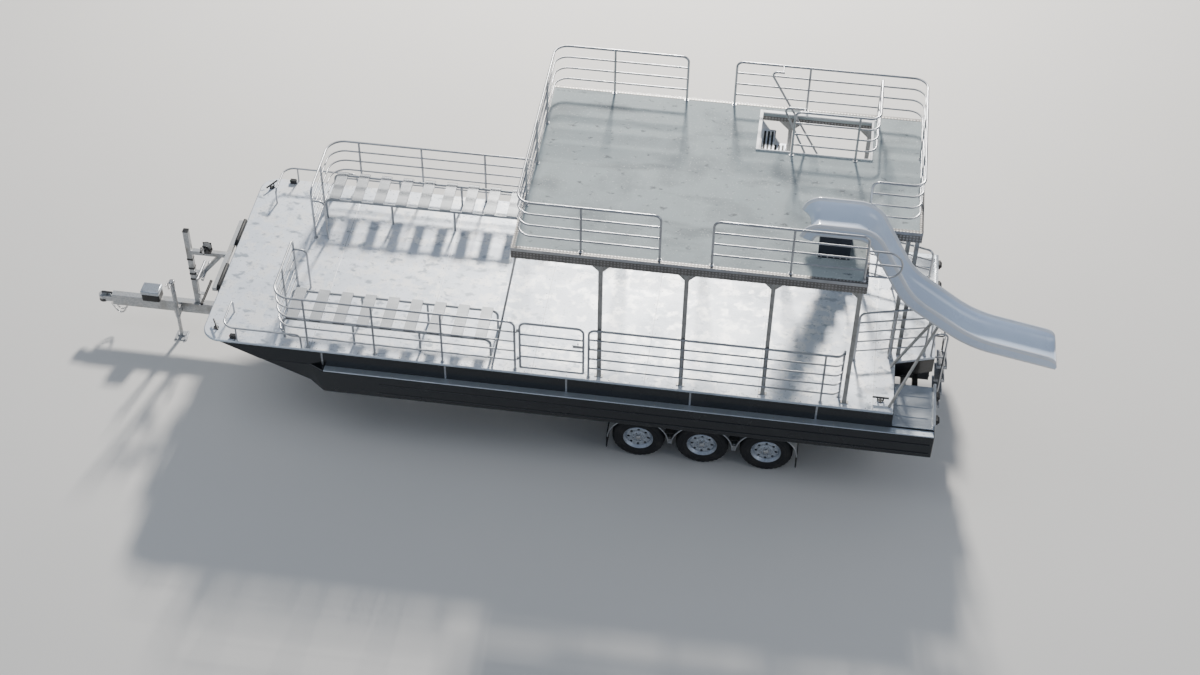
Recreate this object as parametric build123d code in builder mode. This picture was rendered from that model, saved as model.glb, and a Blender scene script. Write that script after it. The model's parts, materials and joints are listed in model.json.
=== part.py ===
from build123d import *

import os

# Double-deck pontoon boat with a water slide, parked on its tri-axle trailer.
# X runs aft, Y to starboard, Z up from the ground. Stations are measured aft from the bow
# edge of the main deck, and at() turns a station into X, so that the origin lies midway
# between the coupler nose and the lip of the slide.

os.makedirs("parts", exist_ok=True)

# Overall stations and heights
coupler_nose = -2300.0
slide_lip = 12030.0
deck_top = 1740.0
deck_half = 1800.0
deck_thick = 40.0
bow_radius = 260.0
side_end = 9885.0
platform_end = 10450.0
platform_root_half = 800.0
platform_tip_half = 620.0

# Pontoons and skirts
skirt_depth = 260.0
skirt_thick = 25.0
ledge_width = 110.0
pontoon_inner = 950.0
pontoon_end = 10500.0
keel_drop = 860.0
chine_drop = 720.0
inner_chine_drop = 780.0
keel_flat = (1050.0, 1350.0)
rake_top_station = 320.0
rake_top_drop = 60.0
rake_run = 1440.0
rake_fall = 660.0
ledge_start = 1560.0
beam_width = 80.0
rib_depth = 100.0
beam_count = 10

# Rails
rail_height = 940.0
rail_bars = 5
rail_inset = 50.0
frame_r = 17.0
bar_r = 13.0
end_bend = 90.0
joint_setback = 5.0
corner_bend = 260.0
foot_r = 32.0
foot_thick = 8.0
bow_rail_station = 1120.0
bow_opening_half = 540.0
gate_start = 4620.0
gate_length = 930.0
gate_gap = 40.0
side_rail_end = 9120.0

# Upper deck
upper_top = 4083.0
upper_thick = 50.0
upper_frame_depth = 125.0
upper_beam_width = 130.0
upper_edge_inset = 10.0
upper_start = 4550.0
upper_port_end = 9280.0
upper_end = 9974.0
notch_inboard = 677.0
post_side = 60.0
first_post_setback = 200.0
post_stations = (gate_start + gate_length + first_post_setback, 6906.0, 8060.0, 9200.0)
post_inset = 100.0
stern_posts = ((9800.0, -637.0), (9920.0, -637.0), (9830.0, 1700.0))
gusset_leg = 170.0
gusset_thick = 8.0
strut_r = 16.0
strut_head = 60.0
strut_foot_station = 4230.0
upper_rail_height = 780.0
upper_rail_bars = 4
upper_rail_inset = 72.0
upper_front_end = 6530.0
upper_aft_start = 7220.0

# Stair hatch and stairs
hatch_start = 7645.0
hatch_end = 9215.0
hatch_inboard = 755.0
hatch_outboard = 1600.0
hatch_rail_start = 8110.0
tread_count = 9
tread_depth = 190.0
tread_thick = 30.0
stringer_thick = 25.0
stair_side_gap = 60.0
stair_run = 1500.0

# Slide
slide_mid = -1050.0
slide_half = 300.0
slide_skirt = 200.0
slide_trough = 150.0
slide_wall = 28.0
slide_rim = 45.0
slide_floor_half = 170.0
slide_entry = 8320.0
slide_rim_rise = 547.0
slide_base_length = 420.0
slide_base_start = 8595.0
base_wall = 20.0
brace_side = 50.0

# Benches
bench_start = 1250.0
bench_pitch = 340.0
bench_slats = 9
slat_width = 160.0
slat_thick = 30.0
bench_height = 420.0
bench_inner = 1010.0
bench_outer = 1615.0
bench_frame_r = 19.0

# Boarding ladder
ladder_mid = -375.0
ladder_half = 180.0
ladder_r = 15.0
ladder_steps = 4
ladder_pitch = 270.0
ladder_tread = 150.0
ladder_tread_thick = 30.0
ladder_hinge_out = 130.0
ladder_hinge_drop = 20.0
pin_r = 8.0
pin_clearance = 0.5
bracket_side = 60.0
gate_pin_r = 6.0

# Trailer
frame_top = 640.0
rail_depth = 150.0
rail_width = 80.0
frame_rail_mid = 1100.0
arm_start = 600.0
arm_width = 110.0
frame_end = 10150.0
tongue_nose = -2080.0
tongue_end = 3200.0
tongue_depth = 200.0
tongue_width = 110.0
cross_depth = 100.0
cross_width = 80.0
cross_half = 1335.0
tongue_cross_half = 600.0
cross_stations = (1300.0, 3100.0, 4900.0, 6798.0, 8900.0, 10110.0)
bunk_width = 90.0
bunk_depth = 80.0
bunk_start = 1900.0
bunk_end = 10300.0
bunk_mids = (1110.0, 1290.0)

# Running gear
tyre_r = 388.0
tyre_width = 235.0
tyre_outer_face = 1590.0
rim_r = 215.0
rim_wall = 8.0
disc_thick = 14.0
hub_r = 62.0
spindle_r = 24.0
bearing_clearance = 1.0
axle_r = 38.0
wheel_stations = (6330.0, 7265.0, 8200.0)
backing_r = 150.0
backing_thick = 12.0
fender_r = 446.0
fender_thick = 4.0
fender_inner = 1345.0
fender_outer = 1625.0
fender_low = 20.0

# Forward trailer fittings
winch_post_station = -700.0
winch_post_side = 80.0
winch_post_top = 2110.0
winch_offset = 280.0
winch_drum_r = 66.0
stop_height = 1700.0
pad_length = 520.0
pad_mid = 500.0
pad_thick = 60.0
pad_depth = 170.0
brake_box_start = -1570.0
brake_box_length = 280.0
brake_box_half = 105.0
brake_box_height = 195.0
jack_station = -1010.0
jack_side = 150.0
jack_tube_r = 35.0
jack_leg_r = 28.0
jack_top = 1140.0
ball_r = 29.4

mid_station = (coupler_nose + slide_lip) / 2
deck_base = deck_top - deck_thick
pontoon_top = deck_base - skirt_depth
upper_base = upper_top - upper_thick
upper_beam_base = upper_base - upper_frame_depth
rail_line = deck_half - rail_inset
upper_half = deck_half - upper_edge_inset
upper_rail_line = deck_half - upper_rail_inset
post_line = deck_half - post_inset
sides = (("port", -1), ("starboard", 1))
along_x, along_y = (0, 90, 0), (90, 0, 0)


def at(station):
    return station - mid_station


def save(piece, name):
    piece.part.label = name
    export_step(piece.part, f"parts/{name}.step")


def tube(points, radius, bends=()):
    """A round bar through the points, each inner corner bent to its own radius."""
    with BuildPart() as bar:
        with BuildLine() as route:
            if len(points) > 2:
                FilletPolyline(*points, radius=list(bends))
            else:
                Line(*points)
        with BuildSketch(Plane(origin=route.line @ 0, z_dir=route.line % 0)):
            Circle(radius)
        sweep(path=route.line)
    return bar.part


def block(low, high, mode=Mode.ADD):
    """A box between two corners, in the part being built."""
    size = [b - a for a, b in zip(low, high)]
    with Locations(tuple((a + b) / 2 for a, b in zip(low, high))):
        Box(*size, mode=mode)


def rod(middle, radius, length, turn=(0, 0, 0), mode=Mode.ADD):
    """A cylinder about its middle, upright unless turned, in the part being built."""
    with Locations(Location(middle, turn)):
        Cylinder(radius, length, mode=mode)


def bar_between(start, end, width, depth):
    """A rectangular bar from one point to another, in the part being built."""
    along = Vector(*end) - Vector(*start)
    with BuildSketch(Plane(origin=start, x_dir=(0, 1, 0), z_dir=along), mode=Mode.PRIVATE) as section:
        Rectangle(width, depth)
    extrude(section.sketch, amount=along.length)


def rail_panel(plan, base, height, bars, posts, plan_bends=()):
    """A welded panel: looped outer tube, level bars between its ends, upright posts."""
    top = base + height - frame_r
    first, last = plan[0], plan[-1]
    loop = [(*first, base), *((*spot, top) for spot in plan), (*last, base)]
    tubes = [tube(loop, frame_r, (end_bend, *plan_bends, end_bend))]
    for number in range(1, bars):
        level = base + (height - frame_r) * number / bars
        tubes.append(tube([(*spot, level) for spot in plan], bar_r, plan_bends))
    for spot in posts:
        tubes.append(tube([(*spot, base), (*spot, top)], frame_r - 1))
    for spot in (first, last, *posts):
        tubes.append(tube([(*spot, base), (*spot, base + foot_thick)], foot_r))
    return tubes


def cut_into_panels(*planes):
    """Parts the rail being built at its bolted joints, just clear of its bends."""
    for plane in planes:
        split(bisect_by=plane, keep=Keep.BOTH)


# Pontoons: one raked hull each side, with a ledge outside the skirt
pontoon_section = (
    # distance out from the centre line, drop below the deck
    (pontoon_inner, deck_top - pontoon_top),
    (deck_half + ledge_width, deck_top - pontoon_top),
    (deck_half + ledge_width, chine_drop),
    (keel_flat[1], keel_drop),
    (keel_flat[0], keel_drop),
    (pontoon_inner, inner_chine_drop),
)
rake_slope = rake_fall / rake_run
keel_station = rake_top_station + (keel_drop - rake_top_drop) / rake_slope
pontoon_start = rake_top_station + (deck_top - pontoon_top - rake_top_drop) / rake_slope
rake_overrun = 400.0

for side, sign in sides:
    rake_line = (
        (at(pontoon_start) - rake_overrun, pontoon_top + rake_overrun * rake_slope),
        (at(keel_station) + rake_overrun, deck_top - keel_drop - rake_overrun * rake_slope),
        (at(pontoon_start) - rake_overrun, deck_top - keel_drop - rake_overrun * rake_slope),
    )
    with BuildPart() as pontoon:
        with BuildSketch(Plane.YZ.offset(at(pontoon_start))):
            Polygon(*((sign * out, deck_top - drop) for out, drop in pontoon_section), align=None)
        extrude(amount=pontoon_end - pontoon_start)
        with BuildSketch(Plane.XZ):
            Polygon(*rake_line, align=None)
        extrude(amount=2 * deck_half, both=True, mode=Mode.SUBTRACT)
        with BuildSketch(Plane.XY.offset(deck_top - keel_drop)):
            Polygon(
                (at(pontoon_start) - 1, sign * deck_half),
                (at(ledge_start), sign * deck_half),
                (at(ledge_start) + 2 * ledge_width, sign * (deck_half + ledge_width)),
                (at(ledge_start) + 2 * ledge_width, sign * (deck_half + 2 * ledge_width)),
                (at(pontoon_start) - 1, sign * (deck_half + 2 * ledge_width)),
                align=None,
            )
        extrude(amount=keel_drop, mode=Mode.SUBTRACT)
    save(pontoon, f"{side}_pontoon")

# Skirts between the deck edge and the pontoons, cut off along the bow rake
stern_skin = 10.0
skirt_front = rake_top_station - (rake_top_drop - deck_thick) / rake_slope
with BuildPart() as hull_skirts:
    for side, sign in sides:
        inner = sign * (deck_half - skirt_thick)
        with BuildSketch(Plane.XZ.offset(-inner)):
            Polygon(
                (at(skirt_front), deck_base),
                (at(side_end), deck_base),
                (at(side_end), pontoon_top),
                (at(pontoon_start), pontoon_top),
                align=None,
            )
        extrude(amount=-sign * skirt_thick)
        with BuildSketch(Plane.XY.offset(pontoon_top)):
            Polygon(
                (at(side_end), sign * deck_half),
                (at(side_end) + stern_skin, sign * deck_half),
                (at(side_end) + stern_skin, sign * platform_root_half),
                (at(platform_end), sign * platform_tip_half),
                (at(platform_end), sign * (platform_tip_half - stern_skin)),
                (at(side_end), sign * (platform_root_half - stern_skin)),
                align=None,
            )
        extrude(amount=deck_base - pontoon_top)
save(hull_skirts, "hull_skirts")

# Cross beams under the deck, resting on both pontoons, and the raked bow beam
beam_reach = deck_half - skirt_thick
rib_gap = 0.3
with BuildPart() as deck_crossbeams:
    for number in range(beam_count):
        station = pontoon_start + beam_width + number * (side_end - pontoon_start - beam_width) / beam_count
        block((at(station), -beam_reach, pontoon_top), (at(station) + beam_width, beam_reach, deck_base))
    stern_station = side_end - beam_width
    block((at(stern_station), -beam_reach, pontoon_top), (at(side_end), beam_reach, deck_base))
    for sign in (-1, 1):
        rib = sign * (platform_tip_half - beam_width)
        block(
            (at(side_end) + rib_gap, rib - beam_width / 2, deck_base - rib_depth),
            (at(platform_end) - beam_width, rib + beam_width / 2, deck_base),
        )
    for sign in (-1, 0, 1):
        rib = sign * (beam_reach - 2 * beam_width)
        block(
            (at(skirt_front) + beam_width, rib - beam_width / 2, deck_base - rib_depth),
            (at(pontoon_start) + beam_width - rib_gap, rib + beam_width / 2, deck_base),
        )
save(deck_crossbeams, "deck_crossbeams")

# Main deck with rounded bow corners and the tapered stern platform
with BuildPart() as main_deck:
    with BuildSketch(Plane.XY.offset(deck_base)):
        with BuildLine():
            Polyline(
                (at(bow_radius), deck_half),
                (at(side_end), deck_half),
                (at(side_end), platform_root_half),
                (at(platform_end), platform_tip_half),
                (at(platform_end), -platform_tip_half),
                (at(side_end), -platform_root_half),
                (at(side_end), -deck_half),
                (at(bow_radius), -deck_half),
            )
            CenterArc((at(bow_radius), bow_radius - deck_half), bow_radius, 180, 90)
            Line((at(0), bow_radius - deck_half), (at(0), deck_half - bow_radius))
            CenterArc((at(bow_radius), deck_half - bow_radius), bow_radius, 90, 90)
        make_face()
    extrude(amount=deck_thick)
save(main_deck, "main_deck")

# Low boarding steps on the pontoon tops behind the side decks
step_thick = 30.0
step_gap = 15.0
ridge_count = 3
sill_thick = 40.0
sill_height = 110.0
with BuildPart() as stern_steps:
    for side, sign in sides:
        near, far = sorted((sign * (pontoon_inner + step_gap), sign * (deck_half - step_gap)))
        block(
            (at(side_end) + step_gap, near, pontoon_top),
            (at(pontoon_end), far, pontoon_top + step_thick),
        )
        block(
            (at(pontoon_end) - sill_thick, near, pontoon_top),
            (at(pontoon_end), far, pontoon_top + sill_height),
        )
        for number in range(ridge_count):
            ridge = near + (number + 1) * (far - near) / (ridge_count + 1)
            block(
                (at(side_end) + 4 * step_gap, ridge - step_gap, pontoon_top + step_thick),
                (at(pontoon_end) - sill_thick - 4 * step_gap, ridge + step_gap, pontoon_top + step_thick + 8),
            )
save(stern_steps, "stern_steps")

# Motor pod between the pontoons, with the bolt-on transom plate
pod_start = 9300.0
pod_half = 300.0
pod_top = pontoon_top
pod_drop = 800.0
transom_thick = 60.0
well_depth = 200.0
pod_arms = (9700.0, 10200.0)
bolt_across = (327.0, 251.0)
bolt_down = 203.0
bolt_hole_r = 6.5
first_bolt_drop = 60.0
with BuildPart() as motor_pod:
    with BuildSketch(Plane.XZ.offset(-pod_half)):
        Polygon(
            (at(pod_start), pod_top),
            (at(side_end), pod_top),
            (at(side_end) + well_depth, pod_top - well_depth),
            (at(platform_end) - transom_thick, pod_top - well_depth),
            (at(platform_end) - transom_thick, deck_base),
            (at(platform_end), deck_base),
            (at(platform_end), deck_top - pod_drop),
            (at(pod_start) + 400, deck_top - pod_drop),
            align=None,
        )
    extrude(amount=2 * pod_half)
    for row, across in enumerate(bolt_across):
        level = deck_base - first_bolt_drop - row * bolt_down
        for sign in (-1, 1):
            with BuildSketch(Plane.YZ.offset(at(platform_end))):
                with Locations((sign * across / 2, level)):
                    Circle(bolt_hole_r)
            extrude(amount=-2 * transom_thick, mode=Mode.SUBTRACT)
    for sign in (-1, 1):
        near, far = sorted((sign * pod_half, sign * pontoon_inner))
        for station in pod_arms:
            block((at(station), near, pod_top - 400), (at(station) + beam_width, far, pod_top - 300))
save(motor_pod, "motor_pod")

# Mooring cleats at the bow corners and at the aft ends of the side decks
cleat_length = 230.0
cleat_spots = ((170.0, 1570.0, 60.0), (9700.0, 1600.0, 0.0))
with BuildPart() as mooring_cleats:
    for station, out, turn in cleat_spots:
        for side, sign in sides:
            with Locations(Location((at(station), sign * out, deck_top), (0, 0, sign * turn))):
                rod((0, 0, 5), 38, 10)
                with Locations((-40, 0, 35), (40, 0, 35)):
                    Cylinder(10, 60)
                rod((0, 0, 68), 14, cleat_length, along_x)
save(mooring_cleats, "mooring_cleats")

# Bow rails: side run, rounded corner, athwartship run to the opening, return handrail,
# and the gate pins on lugs of the last post
gate_post = gate_start - gate_gap - frame_r
hinge_station = gate_start - gate_gap / 2
hinge_setback = 200.0
hinge_levels = (hinge_setback, rail_height - hinge_setback)
hinge_plate = 12.0
hinge_pin = 56.0
return_run = 190.0
return_drop = 210.0
bow_posts = (1570.0, 2540.0, 3520.0)
with BuildPart() as bow_rails:
    for side, sign in sides:
        plan = (
            (at(bow_rail_station), sign * bow_opening_half),
            (at(bow_rail_station), sign * rail_line),
            (at(gate_post), sign * rail_line),
        )
        uprights = [
            (at(bow_rail_station), sign * (rail_line + bow_opening_half) / 2),
            *((at(station), sign * rail_line) for station in bow_posts),
        ]
        add(rail_panel(plan, deck_top, rail_height, rail_bars, uprights, (corner_bend,)))
        return_top = deck_top + rail_height - return_drop
        handrail = (
            (at(bow_rail_station), sign * bow_opening_half, return_top),
            (at(bow_rail_station) + return_run, sign * bow_opening_half, return_top),
            (at(bow_rail_station) + return_run, sign * bow_opening_half, deck_top),
        )
        add(tube(handrail, frame_r - 1, (end_bend,)))
        for level in hinge_levels:
            base = deck_top + level
            block(
                (at(gate_post), sign * rail_line - pin_r, base - hinge_plate / 2),
                (at(hinge_station) + pin_r, sign * rail_line + pin_r, base + hinge_plate / 2),
            )
            rod((at(hinge_station), sign * rail_line, base + hinge_pin / 2), gate_pin_r, hinge_pin)
    corner_reach = corner_bend + joint_setback
    cut_into_panels(
        Plane.YZ.offset(at(bow_rail_station) + corner_reach),
        Plane.XZ.offset(rail_line - corner_reach),
        Plane.XZ.offset(corner_reach - rail_line),
    )
save(bow_rails, "bow_rails")

# Side rails aft of the gates, strapped to the deck posts, turned inboard at their after ends
return_out = 150.0
return_bend = 120.0
side_start = gate_start + gate_length + gate_gap + frame_r
side_posts = (8870.0,)
strap_half = 8.0
strap_low = deck_top + (rail_height - frame_r) / rail_bars - frame_r - strap_half
with BuildPart() as side_rails:
    for side, sign in sides:
        plan = (
            (at(side_start), sign * rail_line),
            (at(side_rail_end), sign * rail_line),
            (at(side_rail_end), sign * (rail_line - return_out)),
        )
        uprights = [(at(station), sign * rail_line) for station in side_posts]
        add(rail_panel(plan, deck_top, rail_height, rail_bars, uprights, (return_bend,)))
        near, far = sorted((sign * rail_line, sign * (post_line + post_side / 2)))
        for station in post_stations[1:-1]:
            block(
                (at(station) - strap_half, near, strap_low),
                (at(station) + strap_half, far, deck_top + rail_height - frame_r),
            )
    cut_into_panels(Plane.YZ.offset(at(side_rail_end) - return_bend - joint_setback))
save(side_rails, "side_rails")

# Side gates, each a looped tube frame whose sleeves turn on the pins of the rail before it
gate_low = 60.0
gate_bars = 3
sleeve_outer = 11.0
sleeve_length = 50.0
gate_line_front = gate_start + frame_r
gate_line_back = gate_start + gate_length - frame_r
for side, sign in sides:
    low = deck_top + gate_low
    top = deck_top + rail_height - frame_r
    line = sign * rail_line
    corners = [
        (at(gate_line_front), line, low),
        (at(gate_line_front), line, top),
        (at(gate_line_back), line, top),
        (at(gate_line_back), line, low),
    ]
    pieces = [tube(corners, frame_r, (end_bend, end_bend)), tube([corners[0], corners[3]], frame_r)]
    for number in range(gate_bars):
        level = low + (top - low) * (number + 1) / (gate_bars + 1)
        pieces.append(tube([(at(gate_line_front), line, level), (at(gate_line_back), line, level)], bar_r))
    with BuildPart() as gate:
        add(pieces)
        for level in hinge_levels:
            middle = deck_top + level + hinge_plate / 2 + pin_clearance + sleeve_length / 2
            rod((at(hinge_station), line, middle), sleeve_outer, sleeve_length)
            block(
                (at(hinge_station), line - sleeve_outer / 2, middle - sleeve_length / 2),
                (at(gate_line_front), line + sleeve_outer / 2, middle + sleeve_length / 2),
            )
            bore = gate_pin_r + pin_clearance
            rod((at(hinge_station), line, middle), bore, sleeve_length, mode=Mode.SUBTRACT)
    save(gate, f"{side}_gate")

# Stern rails slanting in beside the platform
stern_rail_start = (9300.0, 850.0)
stern_rail_end = (10290.0, 600.0)
with BuildPart() as stern_rails:
    for side, sign in sides:
        plan = [(at(station), sign * out) for station, out in (stern_rail_start, stern_rail_end)]
        middle = tuple((a + b) / 2 for a, b in zip(*plan))
        add(rail_panel(plan, deck_top, rail_height, rail_bars, [middle]))
save(stern_rails, "stern_rails")

# Low grab rails along the bow edges, curving inboard and down to the deck
grab_level = 250.0
grab_r = 14.0
grab_start = (340.0, 1220.0)
grab_edge = 1784.0
grab_end = 1480.0
with BuildPart() as bow_grab_rails:
    for side, sign in sides:
        top = deck_top + grab_level
        route = [
            (at(grab_start[0]), sign * grab_start[1], deck_top),
            (at(grab_start[0]), sign * grab_start[1], top),
            (at(grab_start[0]), sign * grab_edge, top),
            (at(grab_end), sign * grab_edge, top),
            (at(grab_end), sign * grab_edge, deck_top),
        ]
        add(tube(route, grab_r, (70, 170, 70)))
        add(tube([(at(540), sign * grab_edge, deck_top), (at(540), sign * grab_edge, top)], grab_r - 2))
save(bow_grab_rails, "bow_grab_rails")

# Benches: flat slats on a tube frame each side of the bow
bench_top = deck_top + bench_height
tube_level = bench_top - slat_thick - bench_frame_r
bench_finish = bench_start + (bench_slats - 1) * bench_pitch + slat_width
bench_ends = (at(bench_start) - 60, at(bench_finish) + 60)
with BuildPart() as benches:
    for side, sign in sides:
        near, far = sorted((sign * (bench_inner - bench_frame_r), sign * bench_outer))
        for number in range(bench_slats):
            front = at(bench_start) + number * bench_pitch
            block((front, near, bench_top - slat_thick - 1), (front + slat_width, far, bench_top))
        for out in (sign * bench_inner, sign * (bench_outer - bench_frame_r)):
            loop = [(bench_ends[0], out, deck_top)]
            loop += [(end, out, tube_level) for end in bench_ends]
            loop += [(bench_ends[1], out, deck_top)]
            add(tube(loop, bench_frame_r, (end_bend, end_bend)))
            for share in (1 / 3, 2 / 3):
                leg = at(bench_start + share * (bench_finish - bench_start))
                add(tube([(leg, out, deck_top), (leg, out, tube_level)], bench_frame_r - 2))
    cut_into_panels(Plane.XY.offset(tube_level - end_bend - joint_setback))
save(benches, "benches")

# Square posts with gussets under the side beams of the upper deck
side_posts_table = [(station, sign * post_line) for side, sign in sides for station in post_stations]
with BuildPart() as upper_deck_posts:
    for station, line in (*side_posts_table, *stern_posts):
        block(
            (at(station) - post_side / 2, line - post_side / 2, deck_top),
            (at(station) + post_side / 2, line + post_side / 2, upper_beam_base),
        )
    for station, line in side_posts_table:
        block(
            (at(station) - post_side, line - post_side / 2, deck_top),
            (at(station) + post_side, line + post_side / 2, deck_top + foot_thick),
        )
        ways = (-1,) if station == post_stations[-1] else (-1, 1)
        with BuildSketch(Plane.XZ.offset(-line)):
            for way in ways:
                edge = at(station) + way * (post_side / 2 - 1)
                Polygon(
                    (edge, upper_beam_base),
                    (edge + way * gusset_leg, upper_beam_base),
                    (edge, upper_beam_base - gusset_leg),
                    align=None,
                )
        extrude(amount=gusset_thick / 2, both=True)
save(upper_deck_posts, "upper_deck_posts")

# Frame of the upper deck: long beams, and joists between them
side_beam_inner = upper_half - upper_beam_width
joist_width = 80.0
trimmer_inner = hatch_inboard - joist_width
notch_beam = (-notch_inboard, -notch_inboard + joist_width)
beam_rows = (
    # start station, end station, from out, to out
    (upper_start, upper_port_end, -upper_half, -side_beam_inner),
    (upper_start, upper_end, side_beam_inner, upper_half),
    (hatch_start - 125, upper_port_end, trimmer_inner, hatch_inboard),
    (upper_port_end, upper_end, *notch_beam),
)
joist_rows = (
    # start station, from out, to out
    (upper_start, -side_beam_inner, side_beam_inner),
    (post_stations[0] - joist_width / 2, -side_beam_inner, side_beam_inner),
    (post_stations[1] - joist_width / 2, -side_beam_inner, side_beam_inner),
    (hatch_start - 125 - joist_width, -side_beam_inner, side_beam_inner),
    (hatch_start - joist_width, hatch_inboard, side_beam_inner),
    (post_stations[2] + 200, -side_beam_inner, trimmer_inner),
    (upper_port_end - joist_width, -side_beam_inner, trimmer_inner),
    (upper_port_end - joist_width + 20, hatch_inboard, side_beam_inner),
    (upper_end - joist_width, notch_beam[1], side_beam_inner),
)
with BuildPart() as upper_deck_beams:
    for start, end, near, far in beam_rows:
        block((at(start), near, upper_beam_base), (at(end), far, upper_base))
save(upper_deck_beams, "upper_deck_beams")

with BuildPart() as upper_deck_joists:
    for start, near, far in joist_rows:
        block((at(start), near, upper_beam_base), (at(start + joist_width), far, upper_base))
save(upper_deck_joists, "upper_deck_joists")

# Upper deck plate, notched for the slide and open over the stairs
with BuildPart() as upper_deck:
    with BuildSketch(Plane.XY.offset(upper_base)):
        Polygon(
            (at(upper_start), -upper_half),
            (at(upper_port_end), -upper_half),
            (at(upper_port_end), -notch_inboard),
            (at(upper_end), -notch_inboard),
            (at(upper_end), upper_half),
            (at(upper_start), upper_half),
            align=None,
        )
        Polygon(
            (at(hatch_start), hatch_inboard),
            (at(hatch_end), hatch_inboard),
            (at(hatch_end), hatch_outboard),
            (at(hatch_start), hatch_outboard),
            align=None,
            mode=Mode.SUBTRACT,
        )
    extrude(amount=upper_thick)
save(upper_deck, "upper_deck")

# Thin raked struts from the front corners of the upper deck
with BuildPart() as front_struts:
    for side, sign in sides:
        head = (at(upper_start + strut_head), sign * post_line, upper_beam_base)
        foot = (at(strut_foot_station), sign * post_line, deck_top)
        with BuildSketch(Plane.XZ.offset(-sign * post_line)):
            Polygon(
                (head[0] - strut_r, head[2]),
                (head[0] + strut_r, head[2]),
                (foot[0] + strut_r, foot[2]),
                (foot[0] - strut_r, foot[2]),
                align=None,
            )
        extrude(amount=strut_r, both=True)
save(front_struts, "front_struts")

# Upper rails
front_line = upper_start + upper_rail_inset
aft_line = upper_end - upper_rail_inset
upper_front_post = 5480.0
slide_side_line = 620.0
plan = (
    (at(upper_front_end), -upper_rail_line),
    (at(front_line), -upper_rail_line),
    (at(front_line), upper_rail_line),
    (at(upper_front_end), upper_rail_line),
)
uprights = [
    (at(upper_front_post), -upper_rail_line),
    (at(front_line), -900),
    (at(front_line), 0),
    (at(front_line), 900),
    (at(upper_front_post), upper_rail_line),
]
front_bend = 200.0
front_reach = front_bend + joint_setback
with BuildPart() as upper_front_rail:
    add(rail_panel(plan, upper_top, upper_rail_height, upper_rail_bars, uprights, (front_bend, front_bend)))
    cut_into_panels(
        Plane.YZ.offset(at(front_line) + front_reach),
        Plane.XZ.offset(upper_rail_line - front_reach),
        Plane.XZ.offset(front_reach - upper_rail_line),
    )
save(upper_front_rail, "upper_front_rail")

port_end = upper_port_end - 60
upper_post = 8260.0
loop_brace = 9350.0
loop_end = 9680.0
loop_low, loop_high = 95.0, 530.0
loop_bend = (loop_high - loop_low) / 2 - 10
plan = ((at(upper_aft_start), -upper_rail_line), (at(port_end), -upper_rail_line))
loop = [
    (at(port_end), -upper_rail_line, upper_top + loop_high),
    (at(loop_end), -upper_rail_line, upper_top + loop_high),
    (at(loop_end), -upper_rail_line, upper_top + loop_low),
    (at(port_end), -upper_rail_line, upper_top + loop_low),
]
loop_middle = upper_top + (loop_low + loop_high) / 2
loop_level = [(at(station), -upper_rail_line, loop_middle) for station in (port_end, loop_end)]
loop_upright = [(at(loop_brace), -upper_rail_line, upper_top + level) for level in (loop_low, loop_high)]
with BuildPart() as upper_port_rail:
    uprights = [(at(upper_post), -upper_rail_line)]
    add(rail_panel(plan, upper_top, upper_rail_height, upper_rail_bars, uprights))
    add(tube(loop, bar_r + 1, (loop_bend, loop_bend)))
    add(tube(loop_level, bar_r))
    add(tube(loop_upright, bar_r))
save(upper_port_rail, "upper_port_rail")

plan = (
    (at(upper_aft_start), upper_rail_line),
    (at(aft_line), upper_rail_line),
    (at(aft_line), -slide_side_line),
    (at(port_end), -slide_side_line),
)
uprights = [(at(upper_post), upper_rail_line), (at(aft_line), 900), (at(aft_line), 100)]
slide_side_bend = 160.0
with BuildPart() as upper_starboard_rail:
    aft_bends = (front_bend, slide_side_bend)
    add(rail_panel(plan, upper_top, upper_rail_height, upper_rail_bars, uprights, aft_bends))
    cut_into_panels(
        Plane.YZ.offset(at(aft_line) - front_reach),
        Plane.XZ.offset(front_reach - upper_rail_line),
        Plane.XZ.offset(slide_side_line - slide_side_bend - joint_setback),
    )
save(upper_starboard_rail, "upper_starboard_rail")

hatch_line = hatch_inboard - 45
plan = (
    (at(hatch_rail_start), hatch_line),
    (at(hatch_end + 60), hatch_line),
    (at(hatch_end + 60), upper_rail_line - 3 * frame_r),
)
hatch_bend = 150.0
with BuildPart() as hatch_rail:
    uprights = [(at(9000), hatch_line)]
    add(rail_panel(plan, upper_top, upper_rail_height, upper_rail_bars, uprights, (hatch_bend,)))
    cut_into_panels(
        Plane.YZ.offset(at(hatch_end) + 60 - hatch_bend - joint_setback),
        Plane.XZ.offset(-hatch_line - hatch_bend - joint_setback),
    )
save(hatch_rail, "hatch_rail")

# Stairs: two raked stringers and the treads between them
rise = upper_top - deck_top
tread_rise = rise / (tread_count + 1)
tread_run = (stair_run - tread_depth) / (tread_count - 1)
stair_slope = tread_rise / tread_run
stringer_front = hatch_start
stringer_head = deck_top + rise - upper_thick - 8
stringer_drop = 330.0
stair_near = hatch_inboard + stair_side_gap
stair_far = hatch_outboard - stair_side_gap
tread_front = hatch_start + 20
with BuildPart() as stairs:
    for near in (stair_near, stair_far - stringer_thick):
        with BuildSketch(Plane.XZ.offset(-near)):
            Polygon(
                (at(stringer_front), stringer_head),
                (at(stringer_front), stringer_head - stringer_drop),
                (at(stringer_front) + (stringer_head - stringer_drop - deck_top) / stair_slope, deck_top),
                (at(stringer_front) + (stringer_head - deck_top) / stair_slope, deck_top),
                align=None,
            )
        extrude(amount=-stringer_thick)
    for number in range(tread_count):
        level = upper_top - (number + 1) * tread_rise
        front = at(tread_front) + number * tread_run
        block((front, stair_near + 5, level - tread_thick), (front + tread_depth, stair_far - 5, level))
save(stairs, "stairs")

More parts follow.
